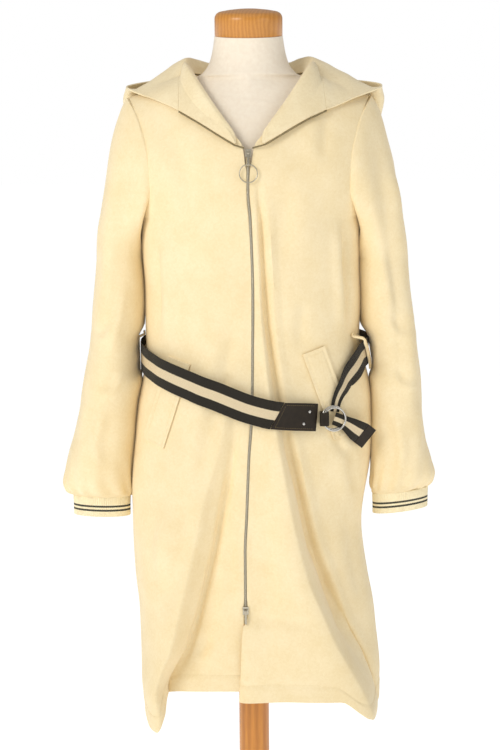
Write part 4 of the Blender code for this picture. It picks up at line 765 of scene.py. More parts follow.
def cut_of(grid, wrap=False):
    """Width, length and area that a panel was cut to: its longest row and column, and its surface."""
    if wrap:
        grid = wrapped(grid)
    a = np.cross(grid[:-1, 1:] - grid[:-1, :-1], grid[1:, :-1] - grid[:-1, :-1])
    b = np.cross(grid[1:, :-1] - grid[1:, 1:], grid[:-1, 1:] - grid[1:, 1:])
    area = (np.linalg.norm(a, axis=-1).sum() + np.linalg.norm(b, axis=-1).sum()) / 2
    return lengths_of(grid, 1)[:, -1].max(), lengths_of(grid, 0)[-1].max(), area


def cloth_sheet(grid, wrap=False):
    """Work out a panel's cut from its own grid; nothing is done with the values."""
    wide, long, area = cut_of(grid, wrap)


def draw_in(outer, inner, amount, edges):
    """Pull the named edges of two grids back by an amount, so that neighbours stay apart."""
    outer, inner = outer.copy(), inner.copy()
    moves = {"first_row": (0, 1, 0), "last_row": (-1, -2, 0), "first_column": (0, 1, 1),
             "last_column": (-1, -2, 1)}
    for edge in edges:
        at, to, axis = moves[edge]
        here = outer.take(at, axis=axis)
        step = unit(outer.take(to, axis=axis) - here) * amount
        index = (at, slice(None)) if axis == 0 else (slice(None), at)
        outer[index] += step
        inner[index] += step
    return outer, inner


# %% [markdown]
# The two fronts and the back are hung from the shoulder seams. Each is worked out on a fine grid: t
# runs up from the hem, c runs from the zip to the side seam. The creases are added along the
# normals and fade at every seam, so that neighbours still meet. At the hem the turned-up edge is
# a little thicker, with a dent where it is sewn.

# %% Fronts and back
ROWS = np.concatenate([finer(ROWS_BELOW + (1.0,), 9), 1 + finer(ROWS_ABOVE, 5)[1:]])
BELOW = len(ROWS_BELOW) * 9
HEM_TURN = 0.026


def front_columns():
    """Column places of a front, closer in its deep fold."""
    places = [0.0]
    for start, end, count in zip(FRONT_GUIDES[:-1], FRONT_GUIDES[1:], FRONT_STEPS):
        places += [start + (end - start) * (i + 1) / count for i in range(count)]
    return np.array(places)


def seam_fade(c, t, near_zip=0.03):
    """1 on the panel and 0 at its seams, by places across and up."""
    fade = within((1 - np.abs(c)) / 0.05) * within((2 - t) / 0.06)
    return fade * (within(c / near_zip) if near_zip else 1.0)


def hem_band(up):
    """Swell of the turned-up hem, and the dent of its sewing, by height over the edge."""
    swell = 0.0006 * within((HEM_TURN - up) / 0.004)
    return swell - 0.0011 * bell(up - HEM_TURN, 0.0016)


def with_creases(plain, normals, c, t, creases, near_zip):
    """A panel's outer grid moved along its normals by creases, waves, hem and the groove at its seams."""
    x, z = plain[..., 0], plain[..., 2]
    rise = (relief(x, z, creases) + slow_waves(x, z)) * seam_fade(c, t, near_zip)
    up = lengths_of(plain, 0)
    rise += hem_band(up) * within((1 - np.abs(c)) / 0.02)
    groove = 0.0010 * bell(1 - np.abs(c), 0.018)
    return plain + normals * (rise - groove)[..., None]


coat = {}
ZIP_LIP = 0.0011
ZIP_CLOSED = (0.566, 1.252)
ZIP_FADE = 0.01
BACK_COLUMNS = 145
t_front, c_front = np.meshgrid(ROWS, finer(front_columns(), 7), indexing="ij")
for side, sign in SIDES.items():
    plain = front_point(side, c_front, t_front)
    normals = grid_normals(plain, flip=sign < 0)
    normals[:BELOW + 1, -1] = (sign, 0.0, 0.0)
    normals[-1] = unit((sign * SHOULDER_SLOPE, 0.0, 1.0))
    outer = with_creases(plain, normals, c_front, t_front, FRONT_CREASES, 0.03)
    level = plain[..., 2]
    closed = within((level - ZIP_CLOSED[0]) / ZIP_FADE) * within((ZIP_CLOSED[1] - level) / ZIP_FADE)
    outer[..., 0] -= sign * ZIP_LIP * closed * bell(lengths_of(plain, 1), 0.006)
    inner = outer - normals * CLOTH
    coat["front_" + side] = (outer, normals)
    drawn = draw_in(outer, inner, SEAM / 2, ("last_column", "last_row"))
    piece = walled("front_" + side + "_felt", *drawn, WOOL, ["front_" + side])
    cloth_sheet(outer)

t_back, c_back = np.meshgrid(ROWS, np.linspace(-1, 1, BACK_COLUMNS), indexing="ij")
plain = back_point(c_back, t_back)
normals = grid_normals(plain, flip=True)
normals[:BELOW + 1, 0] = (-1.0, 0.0, 0.0)
normals[:BELOW + 1, -1] = (1.0, 0.0, 0.0)
on_shoulder = np.abs(plain[-1, :, 0]) >= NECK_SIDE[0] - 1e-6
flat_way = np.zeros(BACK_COLUMNS)
top_way = np.stack([np.sign(plain[-1, :, 0]) * SHOULDER_SLOPE, flat_way, flat_way + 1], -1)
normals[-1][on_shoulder] = unit(top_way)[on_shoulder]
outer = with_creases(plain, normals, c_back, t_back, BACK_CREASES, 0.0)
coat["back"] = (outer, normals)
drawn = draw_in(outer, outer - normals * CLOTH, SEAM / 2, ("first_column", "last_column", "last_row"))
back_piece = walled("back_felt", *drawn, WOOL, ["back"])
cloth_sheet(outer)

# %% [markdown]
# A set-in sleeve starts at the armhole's edge and bends down into a hanging tube. Its head is a
# curve between the direction in which it leaves the body and the direction of the tube. The tube is
# an oval at each height. Above the cuff the width is gathered in, so small pleats run up from it
# and fade; one long crease runs down from the shoulder and short ones lie in the bend of the elbow.

# %% Sleeves
SLEEVE_DEPTH = {
    "front": (-0.060, -0.064, -0.067, -0.069, -0.069, -0.066, -0.061, -0.055, -0.046, -0.0345),
    "back":  (0.068, 0.066, 0.062, 0.056, 0.050, 0.042, 0.035, 0.030, 0.022, 0.0105),
}
SLEEVE_RIGHT = {
    "z":     (1.100, 1.030, 0.970, 0.920, 0.870, 0.810, 0.765, 0.742, 0.730, 0.7235),
    "inner": (0.1745, 0.1760, 0.1820, 0.1830, 0.1862, 0.1925, 0.1965, 0.1970, 0.1975, 0.1985),
    "outer": (0.2388, 0.2472, 0.2545, 0.263, 0.272, 0.286, 0.296, 0.3005, 0.297, 0.2850),
    "tilt":  (0.0, 0.0, 0.0, 0.0, 0.0, 0.01, 0.02, 0.03, 0.03, 0.03),
}
SLEEVE_LEFT = {
    "z":     (1.100, 1.030, 0.970, 0.920, 0.870, 0.810, 0.770, 0.748, 0.736, 0.7275),
    "inner": (0.1795, 0.1800, 0.1895, 0.1955, 0.1970, 0.1970, 0.1950, 0.1925, 0.1930, 0.1955),
    "outer": (0.2410, 0.2508, 0.2585, 0.265, 0.269, 0.277, 0.284, 0.2895, 0.287, 0.2795),
    "tilt":  (0.0, 0.0, 0.0, 0.0, 0.02, 0.05, 0.09, 0.12, 0.13, 0.13),
}
SLEEVES = {"left": SLEEVE_LEFT | SLEEVE_DEPTH, "right": SLEEVE_RIGHT | SLEEVE_DEPTH}
HEAD_STEPS = (0.12, 0.28, 0.50, 0.75)
CUFF_DEPTH = 0.0325


def read_down(table, name, z):
    """A column of a table whose rows run downwards."""
    return float(smooth(table["z"][::-1], table[name][::-1], z))


def sleeve_ring(table, side, z, count):
    """One level section of a sleeve: an oval between its four sides, tilted by its slope."""
    turn = round_angles(count)
    low, high = read_down(table, "inner", z), read_down(table, "outer", z)
    fore, aft = read_down(table, "front", z), read_down(table, "back", z)
    x = (low + high) / 2 + (high - low) / 2 * np.cos(turn)
    y = (fore + aft) / 2 - (aft - fore) / 2 * np.sin(turn)
    lift = (x - (low + high) / 2) * read_down(table, "tilt", z)
    return np.stack([SIDES[side] * x, y, z + lift], axis=-1)


# Lines down the front of each sleeve in (distance out, height), then depth, width, ridge and its side
SLEEVE_CREASES = {
    "left": ((((0.197, 1.330), (0.211, 1.268), (0.226, 1.175), (0.236, 1.099), (0.239, 1.046), (0.245, 0.980),
               (0.250, 0.912), (0.247, 0.810)), 0.0060, 0.009, 0.0035, -1),
             (((0.200, 1.120), (0.214, 1.060), (0.222, 1.000)), 0.0025, 0.008, 0.0015, 1),
             (((0.215, 0.930), (0.232, 0.905), (0.256, 0.895)), 0.0020, 0.006, 0.0015, 1),
             (((0.204, 1.245), (0.220, 1.205), (0.230, 1.160)), 0.0020, 0.008, 0.0014, 1),
             (((0.212, 1.010), (0.226, 0.985), (0.246, 0.972)), 0.0018, 0.006, 0.0014, 1),
             (((0.258, 0.880), (0.262, 0.830), (0.258, 0.775)), 0.0024, 0.008, 0.0016, 1),
             (((0.222, 0.870), (0.236, 0.800), (0.232, 0.755)), 0.0030, 0.008, 0.0020, -1)),
    "right": ((((-0.205, 1.290), (-0.214, 1.190), (-0.222, 1.090), (-0.224, 1.000)),
               0.0035, 0.010, 0.0025, 1),
              (((-0.196, 1.080), (-0.206, 1.010), (-0.222, 0.950)), 0.0028, 0.008, 0.0018, -1),
              (((-0.200, 0.930), (-0.216, 0.900), (-0.240, 0.890)), 0.0022, 0.006, 0.0015, -1),
              (((-0.226, 1.180), (-0.240, 1.120), (-0.246, 1.060)), 0.0020, 0.009, 0.0014, -1),
              (((-0.208, 1.010), (-0.224, 0.984), (-0.246, 0.970)), 0.0018, 0.006, 0.0014, -1),
              (((-0.258, 0.890), (-0.266, 0.835), (-0.262, 0.780)), 0.0024, 0.008, 0.0016, -1),
              (((-0.230, 0.880), (-0.246, 0.815), (-0.240, 0.760)), 0.0030, 0.009, 0.0020, 1)),
}
PLEATS = 13
SLEEVE_REST = 0.0018
BELT_HEIGHT, BELT_CLEAR, BELT_FADE = 0.952, 0.026, 0.016
GATHER_TALL = 0.085


def armhole_loop(side):
    """The armhole's edge and the way out of the body there, from the shoulder round by the front."""
    front, back = coat["front_" + side][0], coat["back"][0]
    column, step = (-1, -2) if side == "left" else (0, 1)
    loop = np.concatenate([front[BELOW:, -1][::-1], back[BELOW:, column][1:-1]])
    fore_way = unit(front[BELOW:, -1] - front[BELOW:, -2])
    aft_way = unit(back[BELOW:, column] - back[BELOW:, step])
    way = np.concatenate([fore_way[::-1], aft_way[1:-1]])
    way[0] = unit(fore_way[-1] + aft_way[-1])
    way[len(front) - 1 - BELOW] = (SIDES[side], 0.0, 0.0)
    return loop, way


def rest_on_body(side, grid):
    """The sleeve's inner side moved in until it nearly touches the body, except round the belt."""
    x, z = np.abs(grid[..., 0]), grid[..., 2]
    seam_x, seam_z = np.abs(coat["back"][0][:, 0, 0]), coat["back"][0][:, 0, 2]
    order = np.argsort(seam_z)
    body = np.interp(z, seam_z[order], seam_x[order])
    inner = x.min(axis=1, keepdims=True)
    width = x.max(axis=1, keepdims=True) - inner
    near = within(1 - (x - inner) / (0.55 * width))
    low = within((1.16 - z) / 0.04)
    off_belt = within((np.abs(z - BELT_HEIGHT) - BELT_CLEAR) / BELT_FADE)
    gap = np.clip(inner - body - SLEEVE_REST, 0, 0.007)
    moved = grid.copy()
    moved[..., 0] -= SIDES[side] * gap * near * near * (3 - 2 * near) * low * off_belt
    return moved


def sleeve_grid(side, loop, way):
    """A cubic from the armhole to the first level oval, then level ovals down to the cuff."""
    table = SLEEVES[side]
    count, sign = len(loop), SIDES[side]
    upper = sleeve_ring(table, side, table["z"][0], count)
    turn = round_angles(count)
    top = (1 + np.cos(turn)) / 2
    start = np.stack([sign * (0.020 + 0.050 * top), -0.03 * np.sin(turn), -0.060 + 0.015 * top], -1)
    end = np.stack([np.full(count, sign * 0.01), np.zeros(count), -0.06 - 0.19 * top], -1)
    s = finer((0.0,) + HEAD_STEPS + (1.0,), 7)[:-1, None, None]
    first = loop + way * SEAM
    a, b = (1 + 2 * s) * (1 - s) ** 2, s * (1 - s) ** 2
    d, e = eased(s), s * s * (s - 1)
    head = a * first + b * start + d * upper + e * end
    tube = [sleeve_ring(table, side, z, count) for z in finer(table["z"], 11)]
    return rest_on_body(side, np.concatenate([head, np.array(tube)]))


for side, sign in SIDES.items():
    loop, way = armhole_loop(side)
    plain = sleeve_grid(side, loop, way)
    normals = grid_normals(plain, side == "left", wrap=True)
    turn = round_angles(plain.shape[1])
    x, y, z = plain[..., 0], plain[..., 1], plain[..., 2]
    fore = within(0.5 - y / 0.03)
    mirrored = [(tuple((px + 0.006 * sign, pz - 0.03) for px, pz in line), d, w, r, k)
                for line, d, w, r, k in SLEEVE_CREASES[side]]
    rise = relief(x, z, SLEEVE_CREASES[side]) * fore + relief(x, z, mirrored) * (1 - fore) + slow_waves(x, z)
    foot = plain[-1, :, 2].mean()
    gather = within(1 - (z - foot) / GATHER_TALL) ** 1.5 * within((z - foot) / 0.010)
    pleat = np.sin(PLEATS * turn + 1.6 * np.sin(2 * turn + sign) + 5 * (z - foot) / GATHER_TALL)
    elbow = bell(z - 0.985 + 0.25 * (np.abs(x) - 0.22), 0.010) * 0.0016 * (1 - fore)
    rise = rise + 0.0022 * gather * pleat - elbow
    rise *= within(lengths_of(plain, 0) / 0.03) * within((z - foot) / 0.003)
    rise -= 0.0010 * bell(lengths_of(plain, 0), 0.004)
    outer = plain + normals * rise[..., None]
    inward = -normals
    short = 0.05 - np.sum(inward[0] * way, axis=-1, keepdims=True)
    inward[0] = unit(inward[0] + way * np.maximum(short, 0))
    coat["sleeve_" + side] = (outer, normals)
    drawn = draw_in(outer, outer + inward * CLOTH, SEAM / 2, ("last_row",))
    piece = walled("sleeve_" + side + "_felt", *drawn, WOOL, ["sleeve_" + side], wrap=True)
    cloth_sheet(outer, wrap=True)

# %% [markdown]
# The cuffs are knitted rib: raised columns of stitches, drawn in round the wrist, with two dark
# stripes knitted across. The columns are real ridges round the tube, a rounded sine wave.

# %% Rib finish
rib_group, rib_in, rib_out = new_group("knit_rows", [("Pitch", FLOAT, 0.0015)], [("Height", FLOAT)])
down = put(rib_group, "SeparateXYZ", {0: on_cloth(rib_group)}).outputs["Y"]
loops = calc(rib_group, "DIVIDE", down, rib_in.outputs["Pitch"])
beat = calc(rib_group, "SINE", calc(rib_group, "MULTIPLY", loops, 2 * math.pi))
join(rib_group, calc(rib_group, "ABSOLUTE", beat), rib_out, "Height")


def rib_finish(name, stripes):
    """Cream rib with dark stripes between heights down the tube, in metres, and small stitch rows."""
    made, tree, shader = new_material(name, 0.9, Sheen_Weight=0.2, Specular_IOR_Level=0.15)
    colors = {"Light": linear(255, 243, 206), "Dark": linear(246, 230, 190)}
    nap = put(tree, "Group", colors, node_tree=nap_group)
    down = put(tree, "SeparateXYZ", {0: on_cloth(tree)}).outputs["Y"]
    mask = 0.0
    for low, high in stripes:
        over, under = calc(tree, "GREATER_THAN", down, low), calc(tree, "LESS_THAN", down, high)
        mask = calc(tree, "ADD", mask, calc(tree, "MULTIPLY", over, under))
    paint(tree, shader, mask, nap.outputs["Color"], linear(74, 74, 64))
    rows = put(tree, "Group", node_tree=rib_group)
    bump(tree, shader, rows.outputs["Height"], 0.5, 0.0003)
    return made


RIB = rib_finish("cream_rib", ((0.0140, 0.0172), (0.0205, 0.0237)))
print("rib finish made")

# %% Cuffs
RIBS = 78
for side, sign in SIDES.items():
    table = SLEEVES[side]
    columns = RIBS * 6
    top = sleeve_ring(table, side, table["z"][-1], columns)
    middle = top.mean(axis=0)
    s = np.linspace(0, 1, 25)[:, None, None]
    outer = top + np.array((0, 0, 1)) * (-3 * SEAM - CUFF_DEPTH * s)
    shrink = 1 - 0.015 * within(2 * s[..., :1])
    outer[..., :2] = middle[:2] + (outer[..., :2] - middle[:2]) * shrink
    normals = grid_normals(outer, side == "left", wrap=True)
    turn = round_angles(columns)
    edge = within(np.minimum(s[:, 0], 1 - s[:, 0]) / 0.06)
    ribbing = 0.00032 * np.sin(RIBS * turn) * edge - 0.0003
    outer = outer + normals * ribbing[..., None]
    piece = walled("cuff_" + side + "_rib", outer, outer - normals * (RIB_CLOTH - 0.0006), RIB,
                   ["cuff_" + side], "rib", wrap=True, rim=0.0008)
    cloth_sheet(outer, wrap=True)

# %% [markdown]
# A hood that is down is a bag turned inside out over the back. It rises from the neckline seam, rolls
# over and lies on the shoulders, and its free edge stands off in a soft pouch behind. Each section
# round the neck is one curve through a few places: seam, roll, lowest point, edge. Where a section
# would dip into the coat it is pushed out, so that the cloth lies on the cloth below.

# %% Cloth that lies on cloth
AXIS = np.array([0.0, 0.01, 0.0])


def through(keys, places):
    """A smooth curve through key points, read at shares of its length."""
    keys = np.asarray(keys, float)
    length = lengths_of(keys)
    length /= length[-1]
    return np.stack([smooth(length, keys[:, k], places) for k in range(3)], axis=-1)


HOOD = {
    "round":  (0.0, 10.0, 22.0, 36.0, 50.0, 64.0, 78.0, 90.0),
    "roll":   (0.016, 0.024, 0.026, 0.024, 0.020, 0.018, 0.016, 0.016),
    "low_x":  (0.1065, 0.142, 0.184, 0.190, 0.166, 0.122, 0.062, 0.0),
    "low_y":  (-0.080, -0.052, -0.006, 0.044, 0.104, 0.140, 0.158, 0.162),
    "low_z":  (1.332, 1.347, 1.361, 1.343, 1.262, 1.188, 1.146, 1.132),
    "edge_x": (0.1070, 0.143, 0.187, 0.193, 0.166, 0.114, 0.056, 0.0),
    "edge_y": (-0.081, -0.053, -0.004, 0.034, 0.078, 0.112, 0.132, 0.138),
    "edge_z": (1.330, 1.3463, 1.3645, 1.3700, 1.377, 1.3835, 1.380, 1.376),
    "puff":   (0.0, 0.0, 0.004, 0.014, 0.024, 0.034, 0.040, 0.042),
}
PUFF_FULL = 0.020
HOOD_REACH = {"left": 1.10, "right": 1.0}
HOOD_COLUMNS = 15
HOOD_OFF_BODY = 0.0052
HOOD_SEAM_RISE = 0.0016
SECTION_PLACES = (0.0, 0.08, 0.17, 0.27, 0.38, 0.49, 0.58, 0.66, 0.74, 0.82, 0.90, 1.0)


def neck_seam(turn):
    """The neckline seam at an angle round the neck, 0 at the side and 90 at the middle back."""
    x = NECK_SIDE[0] * math.cos(math.radians(turn))
    z = float(neckline_height(x))
    return np.array([x, SIDE_Y + float(body_depth(x, z, "left", "back")), z])


def turned_out(seam, out, crest, low, edge, puff, places):
    """A section of cloth that stands up from a seam, rolls over a crest and lies down outside."""
    rise = seam + (crest - seam) * 0.6 - out * 0.002
    slope = crest + (low - crest) * 0.42 + out * 0.004
    lying = np.array([low + (crest - low) * share for share in (0.30, 0.18, 0.08)])
    bulge = low + out * puff * 0.45 - (0, 0, 0.30 * puff)
    hung = np.array([low, bulge, low + (edge - low) * 0.35 + out * puff])
    share = min(puff / PUFF_FULL, 1.0)
    lower = lying + (hung - lying) * share * share * (3 - 2 * share)
    return through([seam, rise, crest, slope] + list(lower) + [edge], places)


def hood_section(place, side, places):
    """One section of the hood from the neckline seam over the roll and down to the free edge."""
    turn = float(smooth(range(len(HOOD["round"])), HOOD["round"], place))

    def value(name):
        return float(smooth(range(len(HOOD["round"])), HOOD[name], place))

    out = np.array([math.cos(math.radians(turn)), math.sin(math.radians(turn)), 0.0])
    seam = neck_seam(turn) - out * 0.0010 + (0.0, 0.0, HOOD_SEAM_RISE)
    crest = seam + out * 0.013 + (0, 0, value("roll"))
    reach = 1 + (HOOD_REACH[side] - 1) * math.cos(math.radians(turn))
    low = np.array([value("low_x") * reach, value("low_y"), value("low_z")])
    edge = np.array([value("edge_x") * reach, value("edge_y"), value("edge_z")])
    return turned_out(seam, out, crest, low, edge, value("puff"), places)


class Ground:
    """Points and normals of finished cloth, which other cloth may lie on."""

    def __init__(self, *names):
        self.points = np.concatenate([coat[name][0].reshape(-1, 3) for name in names])
        self.normals = np.concatenate([coat[name][1].reshape(-1, 3) for name in names])

    def push_out(self, grid, gap):
        """Each point's height is measured along the nearest normal, and raised to the gap if it is less."""
        rows = []
        for row in grid.reshape(-1, grid.shape[-2], 3):
            low, high = row.min(axis=0) - 0.03, row.max(axis=0) + 0.03
            near = np.all((self.points > low) & (self.points < high), axis=1)
            if not near.any():
                rows.append(row)
                continue
            points, normals = self.points[near], self.normals[near]
            for _ in range(3):
                far = ((row[:, None] - points[None]) ** 2).sum(axis=-1)
                best = far.argmin(axis=1)
                height = np.sum((row - points[best]) * normals[best], axis=1)
                row = row + normals[best] * np.maximum(gap - height, 0)[:, None]
            rows.append(row)
        return np.array(rows).reshape(grid.shape)


yoke = Ground("front_left", "front_right", "back")
print("points to lie on", len(yoke.points))

# %% Hood
seam_edges = {}
for side, sign in SIDES.items():
    around = np.linspace(0, len(HOOD["round"]) - 1, (HOOD_COLUMNS - 1) * 5 + 1)
    places = finer(SECTION_PLACES, 6)
    middle = np.array([hood_section(k, side, places) for k in around])
    middle[..., 0] *= sign
    middle[:, 18:] = yoke.push_out(middle[:, 18:], HOOD_OFF_BODY)
    normals = grid_normals(middle, flip=sign > 0)
    normals[-1, :, 0] = 0.0
    normals = unit(normals)
    x, z = middle[..., 0], middle[..., 2]
    fade = within(np.arange(len(around)) / 6)[:, None] * within(places / 0.1)
    soft = 0.0012 * np.sin(38 * z + 21 * x + sign) + 0.0009 * np.sin(63 * x - 30 * z)
    middle = middle + normals * (np.abs(soft) * fade)[..., None]
    outer, inner = middle + normals * CLOTH / 2, middle - normals * CLOTH / 2
    seam_edges[side] = outer[0].copy(), inner[0].copy()
    coat["hood_" + side] = (outer, normals)
    outer, inner = draw_in(outer, inner, SEAM, ("first_row",))
    for grid in (outer, inner):
        grid[-1, :, 0] = sign * SEAM
    piece = walled("hood_" + side + "_felt", outer, inner, WOOL_DEEP, ["hood_" + side])
    cloth_sheet(outer)

# %% [markdown]
# The tops of the fronts are turned out into lapels: the facing shows, with the open half of the zip
# along its edge. A lapel is the same kind of section as the hood's, from the roll line at the
# neckline out to the zip edge, narrow at the slider and wide at the hood.

# %% Lapels
LAPEL = {
    "along": (0.0, 0.35, 0.70, 1.0),
    "x":     (0.0116, 0.0447, 0.078, 0.1055),
    "z":     (1.2735, 1.2930, 1.3135, 1.3290),
}
LAPEL_START = 0.11
LAPEL_OFF_BODY = 0.0055
LAPEL_POINT = 0.13


def lapel_grid(side):
    """Sections from the roll line out to the zip edge, joined to the hood's first section.

    Near the slider the sections draw in to the zip edge, so that the lapel starts at a point."""
    sign = SIDES[side]
    v = finer(np.linspace(LAPEL_START, 1.0, 9), 6)
    start = 1 + NECK_EDGE["v"][2]
    t = start + (2 - start) * v
    edge = front_point(side, np.zeros_like(t), t)
    beside = front_point(side, np.full_like(t, 0.05), t)
    nearby = front_point(side, np.zeros_like(t), t - 0.02)
    toward = unit(edge - beside)
    normal = unit(np.cross(toward, edge - nearby))
    normal = normal * np.where(normal[:, 1:2] > 0, -1, 1)
    last = hood_section(0, side, (0.0, 1.0)) * (sign, 1, 1)
    out_x = smooth(LAPEL["along"], LAPEL["x"], v) * sign
    out_z = smooth(LAPEL["along"], LAPEL["z"], v)
    out_y = SIDE_Y - body_depth(np.abs(out_x), out_z, side, "front") - LAPEL_OFF_BODY
    places = finer(SECTION_PLACES, 6)
    middle = []
    for i, share in enumerate(v):
        seam = edge[i] + toward[i] * 0.0015 - normal[i] * 0.0010
        seam = seam + (last[0] - edge[-1] - toward[-1] * 0.0015 + normal[-1] * 0.0010) * share ** 3
        out = unit(np.array([sign, 0.0, 0.0]) * share - toward[i] * (1 - share))
        rise = 0.0055 + (HOOD["roll"][0] - 0.0055) * share ** 1.6
        rise *= 0.35 + 0.65 * min(share / 0.30, 1.0)
        crest = seam + out * 0.013 * share + (normal[i] * (1 - share) + (0, 0, share)) * rise
        low = np.array([out_x[i], out_y[i], out_z[i]])
        low = low + (last[1] - (out_x[-1], out_y[-1], out_z[-1])) * share ** 3
        middle.append(turned_out(seam, out, crest, low, low, 0.0, places))
    middle = np.array(middle)
    middle[:, 24:] = yoke.push_out(middle[:, 24:], HOOD_OFF_BODY)
    ease = within((v - LAPEL_START) / LAPEL_POINT)
    keep = (0.10 + 0.90 * ease * (2 - ease))[:, None, None]
    return middle[:, -1:] + (middle - middle[:, -1:]) * keep


lapels = {}
for side, sign in SIDES.items():
    middle = lapel_grid(side)
    normals = grid_normals(middle, flip=sign > 0)
    outer, inner = middle + normals * CLOTH / 2, middle - normals * CLOTH / 2
    outer[-1], inner[-1] = seam_edges[side]
    lapels[side] = (middle, normals)
    coat["lapel_" + side] = (outer, normals)
    outer, inner = draw_in(outer, inner, SEAM, ("last_row",))
    piece = walled("lapel_" + side + "_felt", outer, inner, WOOL_DEEP, ["lapel_" + side])
    cloth_sheet(outer)

# %% [markdown]
# The pocket openings are slanted welts: bands of the same felt sewn on, their edges stitched down.
# Each is laid on the front by looking at the cloth from ahead and reading its depth, so the welt
# takes the body's curve.

# %% Pocket welts
WELTS = {"left": ((0.0955, 0.9640), (0.1430, 0.8290)), "right": ((0.1100, 0.9500), (0.1530, 0.8180))}
WELT_WIDTH = 0.036
WELT_WALL = 0.0020
WELT_GAP = 0.0011


def cloth_tree(names):
    """A search tree over finished cloth."""
    points, faces, count = [], [], 0
    for name in names:
        grid = coat[name][0]
        index = np.arange(grid.shape[0] * grid.shape[1]).reshape(grid.shape[:2])
        if name.startswith("sleeve"):
            index = wrapped(index)
        faces.append(quads_of(index) + count)
        points.append(grid.reshape(-1, 3))
        count += len(points[-1])
    return BVHTree.FromPolygons(np.concatenate(points).tolist(), np.concatenate(faces).tolist())


def depths_ahead(tree, x, z):
    """Where rays from ahead meet the cloth, for whole grids of x and z."""
    hits = [tree.ray_cast(Vector((a, -1.0, b)), Vector((0, 1, 0)))[0] for a, b in zip(x.ravel(), z.ravel())]
    return np.array([tuple(hit) for hit in hits]).reshape(x.shape + (3,))


body_tree = cloth_tree(["front_left", "front_right", "back"])
front_ground = Ground("front_left", "front_right")
for side, sign in SIDES.items():
    (x0, z0), (x1, z1) = WELTS[side]
    down = unit((x1 - x0, z1 - z0))
    s, w = np.meshgrid(np.linspace(0, 1, 61), np.linspace(-0.5, 0.5, 25), indexing="ij")
    x = x0 + (x1 - x0) * s - down[1] * w * WELT_WIDTH
    z = z0 + (z1 - z0) * s + down[0] * w * WELT_WIDTH
    grid = front_ground.push_out(depths_ahead(body_tree, sign * x, z), WELT_GAP)
    normals = grid_normals(grid, flip=sign > 0)
    edge = np.minimum(np.minimum(s, 1 - s) * np.hypot(x1 - x0, z1 - z0), (0.5 - np.abs(w)) * WELT_WIDTH)
    sewn = 0.0008 * bell(edge - 0.0050, 0.0012)
    outer = grid + normals * (WELT_WALL - sewn + 0.0003)[..., None]
    coat["welt_" + side] = (outer, normals)
    piece = walled("welt_" + side + "_felt", outer, grid, WOOL, ["welt_" + side], rim=0.0007)
    cloth_sheet(outer)

# %% [markdown]
# A metal zip is two rows of teeth on tapes. Closed, the teeth of one row sit between those of the
# other; open, each row runs along its own edge. One tooth is a small block with a rounded head, and
# all of them are made at once by adding each tooth's place to the block's points.

# %% Metal finish
def metal_finish(name, color, rough):
    """Plated metal: brushed marks change its roughness and its surface a little."""
    made, tree, shader = new_material(name, rough, Metallic=1.0)
    marks = noise(tree, in_object(tree), 1400.0, 3.0)
    join(tree, fit(tree, marks, 0.3, 0.7, rough * 0.7, rough * 1.5), shader, "Roughness")
    paint(tree, shader, marks, shaded(color, 0.82), color)
    bump(tree, shader, marks, 0.06, 0.0002)
    return made


NICKEL = metal_finish("bright_nickel", (0.62, 0.60, 0.56, 1), 0.24)
ZIP_METAL = metal_finish("zip_metal", (0.56, 0.51, 0.40, 1), 0.30)
OLD_BRASS = metal_finish("dark_zip_metal", (0.44, 0.37, 0.22, 1), 0.32)


def tape_finish(name, color):
    """Woven zip tape: a fine twill in the surface."""
    made, tree, shader = new_material(name, 0.85)
    paint(tree, shader, wave(tree, on_cloth(tree), 1500.0, 0.4, 2.0, "DIAGONAL"), shaded(color, 0.7), color)
    return made


TAPE = tape_finish("zip_tape", linear(138, 118, 76))
TAPE_LIGHT = tape_finish("zip_tape_light", linear(222, 206, 164))
print("metal and tape made")


# %% Teeth
CHAIN_THICK = 0.0018
CHAIN_ENDS = (0.5660, 1.2590)
EDGE_CHAIN = (0.0024, 0.0018)
SLIDER_TALL = 0.0125
SLIDERS = {"upper": (1.2660, 1.2660, 0.0172, 0.0022), "lower": (0.5590, 0.5590, 0.0200, 0.0012)}
TOOTH_STEP = 0.0021
TOOTH_REACH, TOOTH_DEEP, TOOTH_TALL = 0.0030, 0.0017, 0.0011


def tooth_shape():
    """One tooth: a six-sided outline, wide at the root and round at the head, drawn to a thickness.

    Across, the head lies at 0 and the root at the tooth's reach; tall is along the zip."""
    across = np.array((0.0, 0.0004, TOOTH_REACH, TOOTH_REACH, 0.0004, 0.0))
    tall = np.array((0.22, 0.5, 0.42, -0.42, -0.5, -0.22)) * TOOTH_TALL
    front = np.stack([across, tall, np.full(6, 0.5 * TOOTH_DEEP)], -1)
    back = front * (1, 1, -1)
    cap = front * (0.9, 0.72, 1.0) + (0.0002, 0, 0.00022)
    points = np.concatenate([back, front, cap])
    k = np.arange(6)
    n = (k + 1) % 6
    rings = np.concatenate([np.stack([k, n, n + 6, k + 6], -1), np.stack([k + 6, n + 6, n + 12, k + 12], -1)])
    caps = np.array([[12, 13, 14, 17], [14, 15, 16, 17], [5, 2, 1, 0], [5, 4, 3, 2]])
    return points, np.concatenate([rings, caps])


def many(shape, centres, firsts, seconds, thirds):
    """Copies of a small shape: each point goes along three directions at each place, all at once."""
    points, quads = shape
    spread_points = (centres[:, None] + points[None, :, :1] * firsts[:, None]
                     + points[None, :, 1:2] * seconds[:, None] + points[None, :, 2:] * thirds[:, None])
    faces = quads[None] + (np.arange(len(centres)) * len(points))[:, None, None]
    return spread_points.reshape(-1, 3), faces.reshape(-1, 4)


def along_curve(path, step):
    """Evenly spaced places on a polyline, with their directions."""
    length = lengths_of(path)
    found = rows_between(path, length, np.arange(step / 2, length[-1], step))
    return found, unit(np.gradient(found, axis=0))


def front_y(z):
    """Depth of the plain fronts at the zip."""
    return SIDE_Y - body_depth(np.zeros_like(z), z, "left", "front")


